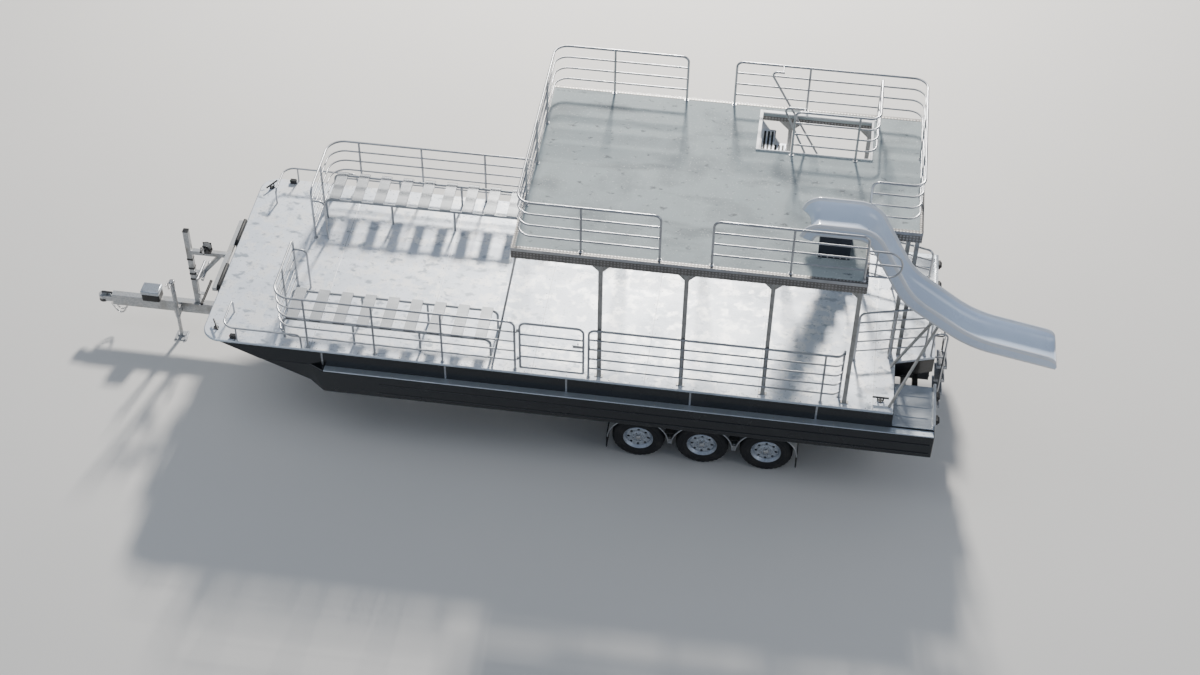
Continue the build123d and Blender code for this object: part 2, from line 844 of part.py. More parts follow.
# Stair handrails from the hatch edge down to the main deck
handrail_gap = 30.0
handrail_level = upper_top + upper_rail_height - frame_r
handrail_foot = 9050.0
handrail_rise = 700.0
handrail_runs = (
    # line out from the centre, head station, end station of the level grip, rail it is tied to
    (stair_near - handrail_gap, 7940.0, 8250.0, hatch_inboard - 45 + frame_r),
    (stair_far + handrail_gap, 7700.0, 7900.0, upper_rail_line - frame_r),
)
with BuildPart() as stair_handrails:
    for line, head, grip_end, rail_face in handrail_runs:
        route = [
            (at(handrail_foot), line, deck_top),
            (at(handrail_foot), line, deck_top + handrail_rise),
            (at(head), line, handrail_level),
            (at(grip_end), line, handrail_level),
        ]
        add(tube(route, frame_r - 2, (200, 60)))
        tie = (at(grip_end) - frame_r, (line + rail_face) / 2, handrail_level)
        rod(tie, bar_r - 2, abs(line - rail_face), along_y)
save(stair_handrails, "stair_handrails")

# Slide: a shallow trough with rolled rims and outer skirts, swept down the rim line
rim_level = upper_top + slide_rim_rise
slide_route = (
    # station, drop below the entry rim
    (slide_entry, 230.0),
    (8412.0, 0.0),
    (9330.0, 0.0),
    (9930.0, 1100.0),
    (10850.0, 1750.0),
    (slide_lip, 1990.0),
)
with BuildPart() as slide:
    with BuildLine() as rim_line:
        points = [(at(station), slide_mid, rim_level - drop) for station, drop in slide_route]
        FilletPolyline(*points, radius=[260, 350, 600, 1200])
    with BuildSketch(Plane(origin=points[0], x_dir=(0, 1, 0), z_dir=rim_line.line % 0)):
        Polygon(
            (-slide_half, -slide_skirt),
            (-slide_half, 0),
            (-slide_half + slide_rim, 0),
            (-slide_floor_half, -slide_trough),
            (slide_floor_half, -slide_trough),
            (slide_half - slide_rim, 0),
            (slide_half, 0),
            (slide_half, -slide_skirt),
            (slide_half - slide_wall, -slide_skirt),
            (slide_half - slide_wall, -slide_wall),
            (slide_floor_half + slide_wall, -slide_trough - slide_wall),
            (-slide_floor_half - slide_wall, -slide_trough - slide_wall),
            (-slide_half + slide_wall, -slide_wall),
            (-slide_half + slide_wall, -slide_skirt),
            align=None,
        )
    sweep(path=rim_line.line)
save(slide, "slide")

# Pedestal under the level entry of the slide
shell_low = rim_level - slide_trough - slide_wall
base_half = slide_half - slide_wall - 10
base_top = rim_level - slide_skirt - 10
with BuildPart() as slide_base:
    base_front, base_back = at(slide_base_start), at(slide_base_start + slide_base_length)
    block(
        (base_front, slide_mid - base_half, upper_top),
        (base_back, slide_mid + base_half, base_top),
    )
    block(
        (base_front + base_wall, slide_mid - base_half + base_wall, upper_top),
        (base_back - base_wall, slide_mid + base_half - base_wall, base_top - base_wall),
        Mode.SUBTRACT,
    )
    block(
        (base_front, slide_mid - slide_floor_half, base_top),
        (base_back, slide_mid + slide_floor_half, shell_low),
    )
save(slide_base, "slide_base")

# Braces from the stern beam up to a bar under the slide
brace_bar_station = 10380.0
(chute_start, start_drop), (chute_finish, finish_drop) = slide_route[3:5]
fall = (finish_drop - start_drop) / (chute_finish - chute_start)
rim_there = rim_level - start_drop - (brace_bar_station - chute_start) * fall
brace_bar_r = 20.0
lean = (1 + fall**2) ** 0.5
brace_bar_level = rim_there - (slide_trough + slide_wall + brace_bar_r + 0.2) * lean
brace_feet = (910.0, 1700.0)
with BuildPart() as slide_braces:
    rod((at(brace_bar_station), slide_mid, brace_bar_level), brace_bar_r, 2 * slide_floor_half, along_y)
    for out, head in zip(brace_feet, (-80, 80)):
        foot = (at(side_end - 60), -out, deck_top + 1)
        top = (at(brace_bar_station), slide_mid - head, brace_bar_level - brace_bar_r / 2)
        bar_between(foot, top, brace_side, brace_side / 2)
    block((at(side_end) - 400, -deck_half, deck_top - 200), (at(side_end), 0, deck_top), Mode.SUBTRACT)
save(slide_braces, "slide_braces")

# Boarding ladder hung from the platform end, and the fixed handrails beside it
ladder_axis_station = platform_end + ladder_hinge_out
ladder_axis_level = deck_top - ladder_hinge_drop
ladder_foot_level = ladder_axis_level - ladder_steps * ladder_pitch
barrel_r = 20.0
barrel_length = 40.0
with BuildPart() as boarding_ladder:
    for way in (-1, 1):
        line = ladder_mid + way * ladder_half
        ends = [(at(ladder_axis_station), line, level) for level in (ladder_axis_level, ladder_foot_level)]
        add(tube(ends, ladder_r))
        rod(ends[0], barrel_r, barrel_length, along_y)
    for number in range(ladder_steps):
        low = ladder_axis_level - (number + 1) * ladder_pitch
        block(
            (at(ladder_axis_station) - ladder_tread / 2, ladder_mid - ladder_half, low),
            (at(ladder_axis_station) + ladder_tread / 2, ladder_mid + ladder_half, low + ladder_tread_thick),
        )
    spot = (at(ladder_axis_station), ladder_mid, ladder_axis_level)
    rod(spot, pin_r + pin_clearance, 3 * ladder_half, along_y, Mode.SUBTRACT)
save(boarding_ladder, "boarding_ladder")

handrail_half = ladder_half + 45
handrail_setback = 60.0
ladder_grip = 450.0
pin_length = 90.0
plate_thick = 12.0
plate_setback = 3.0
with BuildPart() as ladder_handrails:
    for way in (-1, 1):
        line = ladder_mid + way * handrail_half
        route = [
            (at(platform_end - handrail_setback), line, deck_top),
            (at(platform_end - handrail_setback), line, deck_top + ladder_grip),
            (at(ladder_axis_station), line, deck_top + ladder_grip),
            (at(ladder_axis_station), line, ladder_axis_level - 150),
        ]
        add(tube(route, ladder_r, (80, 80)))
        pin_middle = (at(ladder_axis_station), line - way * pin_length / 2, ladder_axis_level)
        rod(pin_middle, pin_r, pin_length, along_y)
        near, far = sorted((line, line - way * plate_thick))
        block(
            (at(platform_end), near, deck_base + plate_setback),
            (at(ladder_axis_station), far, deck_top - plate_setback),
        )
save(ladder_handrails, "ladder_handrails")

# Trailer frame: the tongue with its converging arms, the side rails, and the cross members
# with the brackets of the bunks
frame_low = frame_top - rail_depth
frame_start = 2700.0
rail_near, rail_far = frame_rail_mid - rail_width / 2, frame_rail_mid + rail_width / 2
cross_top = frame_top + cross_depth
keel_level = deck_top - keel_drop
with BuildPart() as trailer_tongue:
    block(
        (at(tongue_nose), -tongue_width / 2, frame_top - tongue_depth),
        (at(tongue_end), tongue_width / 2, frame_top),
    )
    for sign in (-1, 1):
        with BuildSketch(Plane.XY.offset(frame_low)):
            Polygon(
                (at(arm_start), 0),
                (at(arm_start) + arm_width, 0),
                (at(frame_start), sign * rail_near),
                (at(frame_start), sign * rail_far),
                (at(frame_start) - arm_width, sign * rail_far),
                align=None,
            )
        extrude(amount=rail_depth)
save(trailer_tongue, "trailer_tongue")

with BuildPart() as frame_rails:
    for sign in (-1, 1):
        near, far = sorted((sign * rail_near, sign * rail_far))
        block((at(frame_start), near, frame_low), (at(frame_end), far, frame_top))
save(frame_rails, "frame_rails")

with BuildPart() as cross_members:
    for station in cross_stations:
        over_tongue = station < frame_start
        half = tongue_cross_half if over_tongue else cross_half
        block(
            (at(station) - cross_width / 2, -half, frame_top),
            (at(station) + cross_width / 2, half, cross_top),
        )
        for mid in bunk_mids:
            for side, sign in sides:
                if over_tongue:
                    continue
                near = sign * mid - bracket_side / 2
                block(
                    (at(station) - bracket_side / 2, near, cross_top),
                    (at(station) + bracket_side / 2, near + bracket_side, keel_level - bunk_depth),
                )
save(cross_members, "cross_members")

# Bunks under the pontoon keels
with BuildPart() as bunks:
    for mid in bunk_mids:
        for side, sign in sides:
            near, far = sorted((sign * (mid - bunk_width / 2), sign * (mid + bunk_width / 2)))
            block((at(bunk_start), near, keel_level - bunk_depth), (at(bunk_end), far, keel_level))
save(bunks, "bunks")

# Axles with spindles and brake backing plates
rim_inner_face = tyre_outer_face - tyre_width
backing_face = rim_inner_face - 45
with BuildPart() as axles:
    for station in wheel_stations:
        rod((at(station), 0, tyre_r), axle_r, 2 * backing_face, along_y)
        rod((at(station), 0, tyre_r), spindle_r, 2 * (tyre_outer_face - 90), along_y)
        for sign in (-1, 1):
            spot = (at(station), sign * (backing_face - backing_thick / 2), tyre_r)
            rod(spot, backing_r, backing_thick, along_y)
save(axles, "axles")

# Leaf springs with their hangers, one joined run each side
spring_width = 60.0
spring_thick = 24.0
spring_reach = 400.0
eye_r = 22.0
hanger_width = 100.0
spring_base = tyre_r + axle_r
with BuildPart() as leaf_springs:
    for side, sign in sides:
        near = sign * frame_rail_mid - spring_width / 2
        for station in wheel_stations:
            block(
                (at(station) - spring_reach, near, spring_base),
                (at(station) + spring_reach, near + spring_width, spring_base + spring_thick),
            )
            block(
                (at(station) - spring_reach / 2, near, spring_base + spring_thick),
                (at(station) + spring_reach / 2, near + spring_width, spring_base + spring_thick + 12),
            )
        gap = wheel_stations[1] - wheel_stations[0]
        ends = [wheel_stations[0] - gap / 2, *(station + gap / 2 for station in wheel_stations)]
        for station in ends:
            block(
                (at(station) - gap / 2 + spring_reach - 5, near, spring_base - 10),
                (at(station) + gap / 2 - spring_reach + 5, near + spring_width, frame_low),
            )
save(leaf_springs, "leaf_springs")

bracket_half = 20.0

# Fenders: an arc over each tyre, joined by low webs, on brackets from the frame rails
with BuildPart() as fenders:
    for side, sign in sides:
        start = sign * fender_inner
        width = fender_outer - fender_inner
        with BuildSketch(Plane.XZ.offset(-start)):
            for station in wheel_stations:
                with Locations((at(station), tyre_r)):
                    Circle(fender_r + fender_thick)
                    Circle(fender_r, mode=Mode.SUBTRACT)
            with Locations((at(wheel_stations[1]), tyre_r - fender_r + fender_low)):
                Rectangle(4 * fender_r + 2400, 2 * fender_r, mode=Mode.SUBTRACT)
            for station in (wheel_stations[0] + gap / 2, wheel_stations[1] + gap / 2):
                with Locations((at(station), tyre_r + fender_low + 20)):
                    Rectangle(gap - 2 * fender_r, 30)
        extrude(amount=-sign * width)
        for station in (wheel_stations[0] + gap / 2, wheel_stations[1] + gap / 2):
            bracket_end = sign * (fender_outer - bracket_half)
            near, far = sorted((sign * (frame_rail_mid + rail_width / 2), bracket_end))
            level = frame_low + 10
            block(
                (at(station) - bracket_half, near, level - 10),
                (at(station) + bracket_half, far, level + 20),
            )
            near, far = sorted((sign * fender_outer, sign * (fender_outer - bracket_half)))
            block(
                (at(station) - bracket_half, near, tyre_r + fender_low),
                (at(station) + bracket_half, far, level),
            )
save(fenders, "fenders")

# Wheels: pressed rim with a holed disc, and its tyre
rim_width = tyre_width - 50
disc_inset = 55.0
hole_count = 8
for station, place in zip(wheel_stations, ("front", "middle", "rear")):
    for side, sign in sides:
        wheel_plane = Plane(
            origin=(at(station), sign * tyre_outer_face, tyre_r), x_dir=(1, 0, 0), z_dir=(0, -sign, 0)
        )
        with BuildPart() as rim:
            with BuildSketch(wheel_plane.offset((tyre_width - rim_width) / 2)):
                Circle(rim_r)
                Circle(rim_r - rim_wall, mode=Mode.SUBTRACT)
            extrude(amount=rim_width)
            with BuildSketch(wheel_plane.offset(disc_inset)):
                Circle(rim_r - rim_wall + 1)
                Circle(spindle_r + bearing_clearance, mode=Mode.SUBTRACT)
                with PolarLocations(rim_r * 0.68, hole_count):
                    Circle(22, mode=Mode.SUBTRACT)
            extrude(amount=disc_thick)
            with BuildSketch(wheel_plane.offset(disc_inset - 35)):
                Circle(hub_r)
            extrude(amount=30)
            with BuildSketch(wheel_plane.offset(disc_inset - 5)):
                Circle(hub_r)
                Circle(spindle_r + bearing_clearance, mode=Mode.SUBTRACT)
            extrude(amount=110)
        save(rim, f"{place}_{side}_rim")
        with BuildPart() as tyre:
            with BuildSketch(wheel_plane):
                Circle(tyre_r)
                Circle(rim_r, mode=Mode.SUBTRACT)
            extrude(amount=tyre_width)
            crown = tyre.edges().filter_by(GeomType.CIRCLE).group_by(SortBy.RADIUS)[-1]
            fillet(crown, 35)
        save(tyre, f"{place}_{side}_tyre")

# Winch post on the tongue with its arm, brace and the bar of the bow stop
post_half = winch_post_side / 2
stop_bar = 60.0
stop_front = -pad_thick - 70
stop_half = pad_mid + pad_length / 2
with BuildPart() as winch_post:
    block(
        (at(winch_post_station) - post_half, -post_half, frame_top),
        (at(winch_post_station) + post_half, post_half, winch_post_top),
    )
    block(
        (at(winch_post_station) - 2 * post_half, -2 * post_half, frame_top),
        (at(winch_post_station) + 2 * post_half, 2 * post_half, frame_top + backing_thick),
    )
    block(
        (at(winch_post_station), -35, stop_height - 35),
        (at(stop_front) + 5, 35, stop_height + 35),
    )
    bar_between((at(winch_post_station), 0, frame_top + 450), (at(-200), 0, stop_height), 60, 60)
    block(
        (at(stop_front), -stop_half, stop_height - stop_bar / 2),
        (at(-pad_thick), stop_half, stop_height + stop_bar / 2),
    )
save(winch_post, "winch_post")

with BuildPart() as winch:
    with Locations((at(winch_post_station) + winch_offset, 0, stop_height + 35 + 75)):
        for way in (-1, 1):
            block((-75, way * 62 - 3, -75), (75, way * 62 + 3, 75))
        rod((0, 0, 0), winch_drum_r, 120, along_y)
        rod((0, -110, 0), 12, 100, along_y)
        block((-15, -162, -20), (15, -148, 140))
        block((-75, -65, -75), (75, 65, -69))
save(winch, "winch")

with BuildPart() as bow_stop_pads:
    for side, sign in sides:
        middle = sign * pad_mid
        block(
            (at(-pad_thick), middle - pad_length / 2, stop_height - pad_depth / 2),
            (at(0), middle + pad_length / 2, stop_height + pad_depth / 2),
        )
save(bow_stop_pads, "bow_stop_pads")

# Coupler with the ball socket open below
coupler_level = frame_top - tongue_depth / 2
ball_station = coupler_nose + 70
with BuildPart() as coupler:
    block((at(coupler_nose) + 30, -55, coupler_level - 40), (at(tongue_nose), 55, coupler_level + 60))
    rod((at(ball_station), 0, coupler_level + 5), 70, 110)
    with Locations((at(ball_station), 0, coupler_level - 20)):
        Sphere(ball_r + 1, mode=Mode.SUBTRACT)
        Cylinder(ball_r + 1, 100, align=(Align.CENTER, Align.CENTER, Align.MAX), mode=Mode.SUBTRACT)
    block((at(ball_station) - 20, -12, coupler_level + 50), (at(tongue_nose) - 30, 12, coupler_level + 95))
save(coupler, "coupler")

# Brake actuator box on the tongue
with BuildPart() as brake_actuator:
    block(
        (at(brake_box_start), -brake_box_half, frame_top),
        (at(brake_box_start + brake_box_length), brake_box_half, frame_top + brake_box_height),
    )
    fillet(brake_actuator.edges().filter_by(Axis.Z), 25)
    fillet(brake_actuator.faces().sort_by(Axis.Z)[-1].edges(), 12)
save(brake_actuator, "brake_actuator")

# Drop-leg jack clamped to the side of the tongue
with BuildPart() as tongue_jack:
    spot = (at(jack_station), -jack_side)
    block((spot[0] - 50, -jack_side, frame_top - 160), (spot[0] + 50, -tongue_width / 2, frame_top - 20))
    add(tube([(*spot, 420), (*spot, jack_top)], jack_tube_r))
    add(tube([(*spot, 10), (*spot, 440)], jack_leg_r))
    block((spot[0] - 100, spot[1] - 100, 0), (spot[0] + 100, spot[1] + 100, 12))
    block((spot[0] - 40, spot[1] - 40, jack_top), (spot[0] + 40, spot[1] + 40, jack_top + 30))
    rod((spot[0], spot[1] - 80, jack_top + 15), 8, 120, along_y)
save(tongue_jack, "tongue_jack")

# Tail lamps on the ends of the last cross member
with BuildPart() as tail_lamps:
    for side, sign in sides:
        middle = sign * (cross_half - 130)
        rear = at(cross_stations[-1]) + cross_width / 2
        block((rear, middle - 120, frame_top + 10), (rear + 60, middle + 120, cross_top - 5))
save(tail_lamps, "tail_lamps")
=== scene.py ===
import json
import math

import bmesh
import bpy
from mathutils import Matrix, Vector


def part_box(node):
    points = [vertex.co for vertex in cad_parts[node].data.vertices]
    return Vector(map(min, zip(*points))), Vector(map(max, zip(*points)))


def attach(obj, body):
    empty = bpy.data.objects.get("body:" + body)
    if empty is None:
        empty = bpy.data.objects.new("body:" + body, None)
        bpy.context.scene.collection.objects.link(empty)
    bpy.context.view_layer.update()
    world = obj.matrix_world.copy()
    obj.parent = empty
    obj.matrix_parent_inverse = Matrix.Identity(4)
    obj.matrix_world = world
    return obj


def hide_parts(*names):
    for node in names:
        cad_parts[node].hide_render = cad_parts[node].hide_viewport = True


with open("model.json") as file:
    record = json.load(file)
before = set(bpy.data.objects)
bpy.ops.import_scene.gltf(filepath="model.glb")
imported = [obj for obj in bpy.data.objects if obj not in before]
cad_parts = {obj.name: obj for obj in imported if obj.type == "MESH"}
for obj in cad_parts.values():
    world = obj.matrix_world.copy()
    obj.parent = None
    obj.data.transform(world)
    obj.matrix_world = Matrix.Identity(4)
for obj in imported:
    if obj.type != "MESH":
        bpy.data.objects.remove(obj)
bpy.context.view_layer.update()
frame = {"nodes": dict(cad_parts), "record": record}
deckLow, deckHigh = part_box("main_deck")
midStation = round(-deckLow[0], 3)  # metres from the bow edge of the main deck to the frame's origin
deckTop = round(deckHigh[2], 3)
upperTop = round(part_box("upper_deck")[1][2], 3)
hull = "hull_and_trailer"
along = {"x": Vector((1, 0, 0)), "y": Vector((0, 1, 0)), "z": Vector((0, 0, 1))}
bothSides = (("port", -1), ("starboard", 1))


def at(station):
    return station - midStation


def span(*lines, sign=1):  # the same lines on that side, the lower first
    return sorted(sign * line for line in lines)


def newObject(name, data):
    made = bpy.data.objects.new(name, data)
    bpy.context.scene.collection.objects.link(made)
    return made


def meshFrom(bm, name):
    mesh = bpy.data.meshes.new(name)
    bm.to_mesh(mesh)
    bm.free()
    return mesh


# Camera

cameraView = {"place": (3.191, -20.211, 21.068), "yaw": -7.08, "pitch": 44.87, "roll": 1.08, "lens": 57.15}


def makeCamera(settings):
    yaw, pitch, roll = (math.radians(settings[key]) for key in ("yaw", "pitch", "roll"))
    forward = Vector((
        math.sin(yaw) * math.cos(pitch), math.cos(yaw) * math.cos(pitch), -math.sin(pitch)
    ))
    level = Vector((math.cos(yaw), -math.sin(yaw), 0))
    lift = level.cross(forward)
    right = level * math.cos(roll) + lift * math.sin(roll)
    up = lift * math.cos(roll) - level * math.sin(roll)
    turned = Matrix((right, up, -forward)).transposed().to_4x4()
    turned.translation = settings["place"]
    camera = newObject("photoCamera", bpy.data.cameras.new("photoCamera"))
    camera.matrix_world = turned
    camera.data.lens = settings["lens"]
    camera.data.sensor_width = 36
    camera.data.clip_end = 200
    bpy.context.scene.camera = camera


makeCamera(cameraView)
print("camera placed")


# Shader groups: each gives a mask or a height that changes over the surface

def newGroup(name, sockets, result):
    group = bpy.data.node_groups.new(name, "ShaderNodeTree")
    group.interface.new_socket(name="Vector", in_out="INPUT", socket_type="NodeSocketVector")
    for label, value in sockets:
        socket = group.interface.new_socket(name=label, in_out="INPUT", socket_type="NodeSocketFloat")
        socket.default_value = value
    group.interface.new_socket(name=result, in_out="OUTPUT", socket_type="NodeSocketFloat")
    return group, group.nodes.new("NodeGroupInput").outputs, group.nodes.new("NodeGroupOutput").inputs


def mapRange(group, source, low, high, ends=(0, 1)):
    ranged = group.nodes.new("ShaderNodeMapRange")
    for label, value in (("Value", source), ("From Min", low), ("From Max", high)):
        group.links.new(value, ranged.inputs[label])
    ranged.inputs["To Min"].default_value, ranged.inputs["To Max"].default_value = ends
    return ranged.outputs[0]


def mottlingGroup():  # soft blotches
    sockets = (("Scale", 2), ("Detail", 4), ("Low", 0.45), ("High", 0.65))
    group, given, wanted = newGroup("mottling", sockets, "Mask")
    noise = group.nodes.new("ShaderNodeTexNoise")
    for label in ("Vector", "Scale", "Detail"):
        group.links.new(given[label], noise.inputs[label])
    group.links.new(mapRange(group, noise.outputs[0], given["Low"], given["High"]), wanted["Mask"])


def scuffsAndStreakSheenGroup():  # long thin marks, stretched along X and bent by a slow noise: scuffs, and on the step plate painted streak highlights
    sockets = (("Scale", 4), ("Stretch", 12), ("Low", 0.62), ("High", 0.75))
    group, given, wanted = newGroup("scuffsAndStreakSheen", sockets, "Mask")
    bend = group.nodes.new("ShaderNodeTexNoise")
    bend.inputs["Scale"].default_value = 1.3
    group.links.new(given["Vector"], bend.inputs["Vector"])
    warped = group.nodes.new("ShaderNodeMix")
    warped.data_type = "VECTOR"  # then 4 and 5 are its inputs, and output 1 their mix
    warped.inputs[0].default_value = 0.12
    group.links.new(given["Vector"], warped.inputs[4])
    group.links.new(bend.outputs[1], warped.inputs[5])
    split = group.nodes.new("ShaderNodeSeparateXYZ")
    group.links.new(warped.outputs[1], split.inputs[0])
    divide = group.nodes.new("ShaderNodeMath")
    divide.operation = "DIVIDE"
    group.links.new(split.outputs[0], divide.inputs[0])
    group.links.new(given["Stretch"], divide.inputs[1])
    joined = group.nodes.new("ShaderNodeCombineXYZ")
    group.links.new(divide.outputs[0], joined.inputs[0])
    group.links.new(split.outputs[1], joined.inputs[1])
    group.links.new(split.outputs[2], joined.inputs[2])
    noise = group.nodes.new("ShaderNodeTexNoise")
    noise.inputs["Detail"].default_value = 6
    group.links.new(joined.outputs[0], noise.inputs["Vector"])
    group.links.new(given["Scale"], noise.inputs["Scale"])
    group.links.new(mapRange(group, noise.outputs[0], given["Low"], given["High"]), wanted["Mask"])


def spangleGroup():  # zinc crystals or flakes: one value per cell
    group, given, wanted = newGroup("spangle", (("Scale", 60), ("Low", 0), ("High", 1)), "Mask")
    cells = group.nodes.new("ShaderNodeTexVoronoi")
    group.links.new(given["Vector"], cells.inputs["Vector"])
    group.links.new(given["Scale"], cells.inputs["Scale"])
    split = group.nodes.new("ShaderNodeSeparateColor")
    group.links.new(cells.outputs["Color"], split.inputs[0])
    group.links.new(mapRange(group, split.outputs[0], given["Low"], given["High"]), wanted["Mask"])


def grainGroup():  # fine even roughness, as a height
    group, given, wanted = newGroup("grain", (("Scale", 300), ("Detail", 2)), "Height")
    noise = group.nodes.new("ShaderNodeTexNoise")
    for label in ("Vector", "Scale", "Detail"):
        group.links.new(given[label], noise.inputs[label])
    group.links.new(noise.outputs[0], wanted["Height"])


def lozengeGroup():  # raised bars of tread plate, crossed in turn
    group, given, wanted = newGroup("lozenges", (("Pitch", 0.03), ("Sharpness", 0.3)), "Height")
    scaled = group.nodes.new("ShaderNodeVectorMath")
    scaled.operation = "SCALE"
    group.links.new(given["Vector"], scaled.inputs[0])
    rate = group.nodes.new("ShaderNodeMath")
    rate.operation = "DIVIDE"
    rate.inputs[0].default_value = 1
    group.links.new(given["Pitch"], rate.inputs[1])
    group.links.new(rate.outputs[0], scaled.inputs["Scale"])
    cells = group.nodes.new("ShaderNodeTexVoronoi")
    cells.inputs["Randomness"].default_value = 0
    cells.inputs["Scale"].default_value = 1
    group.links.new(scaled.outputs[0], cells.inputs["Vector"])
    flip = group.nodes.new("ShaderNodeMath")
    flip.operation = "SUBTRACT"
    group.links.new(given["Sharpness"], flip.inputs[0])
    group.links.new(cells.outputs["Distance"], flip.inputs[1])
    flip.use_clamp = True
    group.links.new(flip.outputs[0], wanted["Height"])


def ribsGroup():  # even grooves across Y or along a turned pattern
    group, given, wanted = newGroup("ribs", (("Scale", 20),), "Height")
    wave = group.nodes.new("ShaderNodeTexWave")
    wave.bands_direction = "X"
    group.links.new(given["Vector"], wave.inputs["Vector"])
    group.links.new(given["Scale"], wave.inputs["Scale"])
    group.links.new(wave.outputs["Fac"], wanted["Height"])


for buildGroup in (mottlingGroup, scuffsAndStreakSheenGroup, spangleGroup, grainGroup, lozengeGroup, ribsGroup):
    buildGroup()


def placeGroup(tree, coords, groupName, values):
    node = tree.nodes.new("ShaderNodeGroup")
    node.node_tree = bpy.data.node_groups[groupName]
    tree.links.new(coords, node.inputs["Vector"])
    for label, value in values.items():
        node.inputs[label].default_value = value
    return node.outputs[0]


def makeFinish(name, base, rough, metal=0.0, layers=(), bumps=(), coat=0.0):
    material = bpy.data.materials.new(name)
    material.use_nodes = True
    tree = material.node_tree
    shader = tree.nodes["Principled BSDF"]
    fixed = {"Roughness": rough, "Metallic": metal, "Coat Weight": coat, "Coat Roughness": 0.08}
    for label, value in fixed.items():
        shader.inputs[label].default_value = value
    shader.inputs["Base Color"].default_value = (*base, 1)
    coords = tree.nodes.new("ShaderNodeTexCoord").outputs["Object"]
    colour, roughness = None, None
    for groupName, values, tint, roughTo in layers:
        mask = placeGroup(tree, coords, groupName, values)
        mix = tree.nodes.new("ShaderNodeMix")
        mix.data_type = "RGBA"  # then 6 and 7 are its inputs, and output 2 their mix
        mix.inputs[6].default_value = (*base, 1)
        mix.inputs[7].default_value = (*tint, 1)
        tree.links.new(mask, mix.inputs[0])
        if colour:
            tree.links.new(colour, mix.inputs[6])
        colour = mix.outputs[2]
        blend = tree.nodes.new("ShaderNodeMix")  # of numbers: 2 and 3 are its inputs
        blend.inputs[2].default_value = rough
        blend.inputs[3].default_value = roughTo
        tree.links.new(mask, blend.inputs[0])
        if roughness:
            tree.links.new(roughness, blend.inputs[2])
        roughness = blend.outputs[0]
    if colour:
        tree.links.new(colour, shader.inputs["Base Color"])
        tree.links.new(roughness, shader.inputs["Roughness"])
    normal = None
    for groupName, values, depth in bumps:
        bump = tree.nodes.new("ShaderNodeBump")
        bump.inputs["Distance"].default_value = depth
        tree.links.new(placeGroup(tree, coords, groupName, values), bump.inputs["Height"])
        if normal:
            tree.links.new(normal, bump.inputs["Normal"])
        normal = bump.outputs[0]
    if normal:
        tree.links.new(normal, shader.inputs["Normal"])
    return material


def mottled(scale, detail, low, high, *change):  # change: tint and roughness of a layer, or a bump's depth
    return "mottling", {"Scale": scale, "Detail": detail, "Low": low, "High": high}, *change


def scuffedAndStreakSheen(scale, stretch, low, high, *change):
    return "scuffsAndStreakSheen", {"Scale": scale, "Stretch": stretch, "Low": low, "High": high}, *change


def spangled(scale, low, high, *change):
    return "spangle", {"Scale": scale, "Low": low, "High": high}, *change


def grained(depth, scale=400, detail=2):
    return "grain", {"Scale": scale, "Detail": detail}, depth


def ribbed(scale, depth):
    return "ribs", {"Scale": scale}, depth


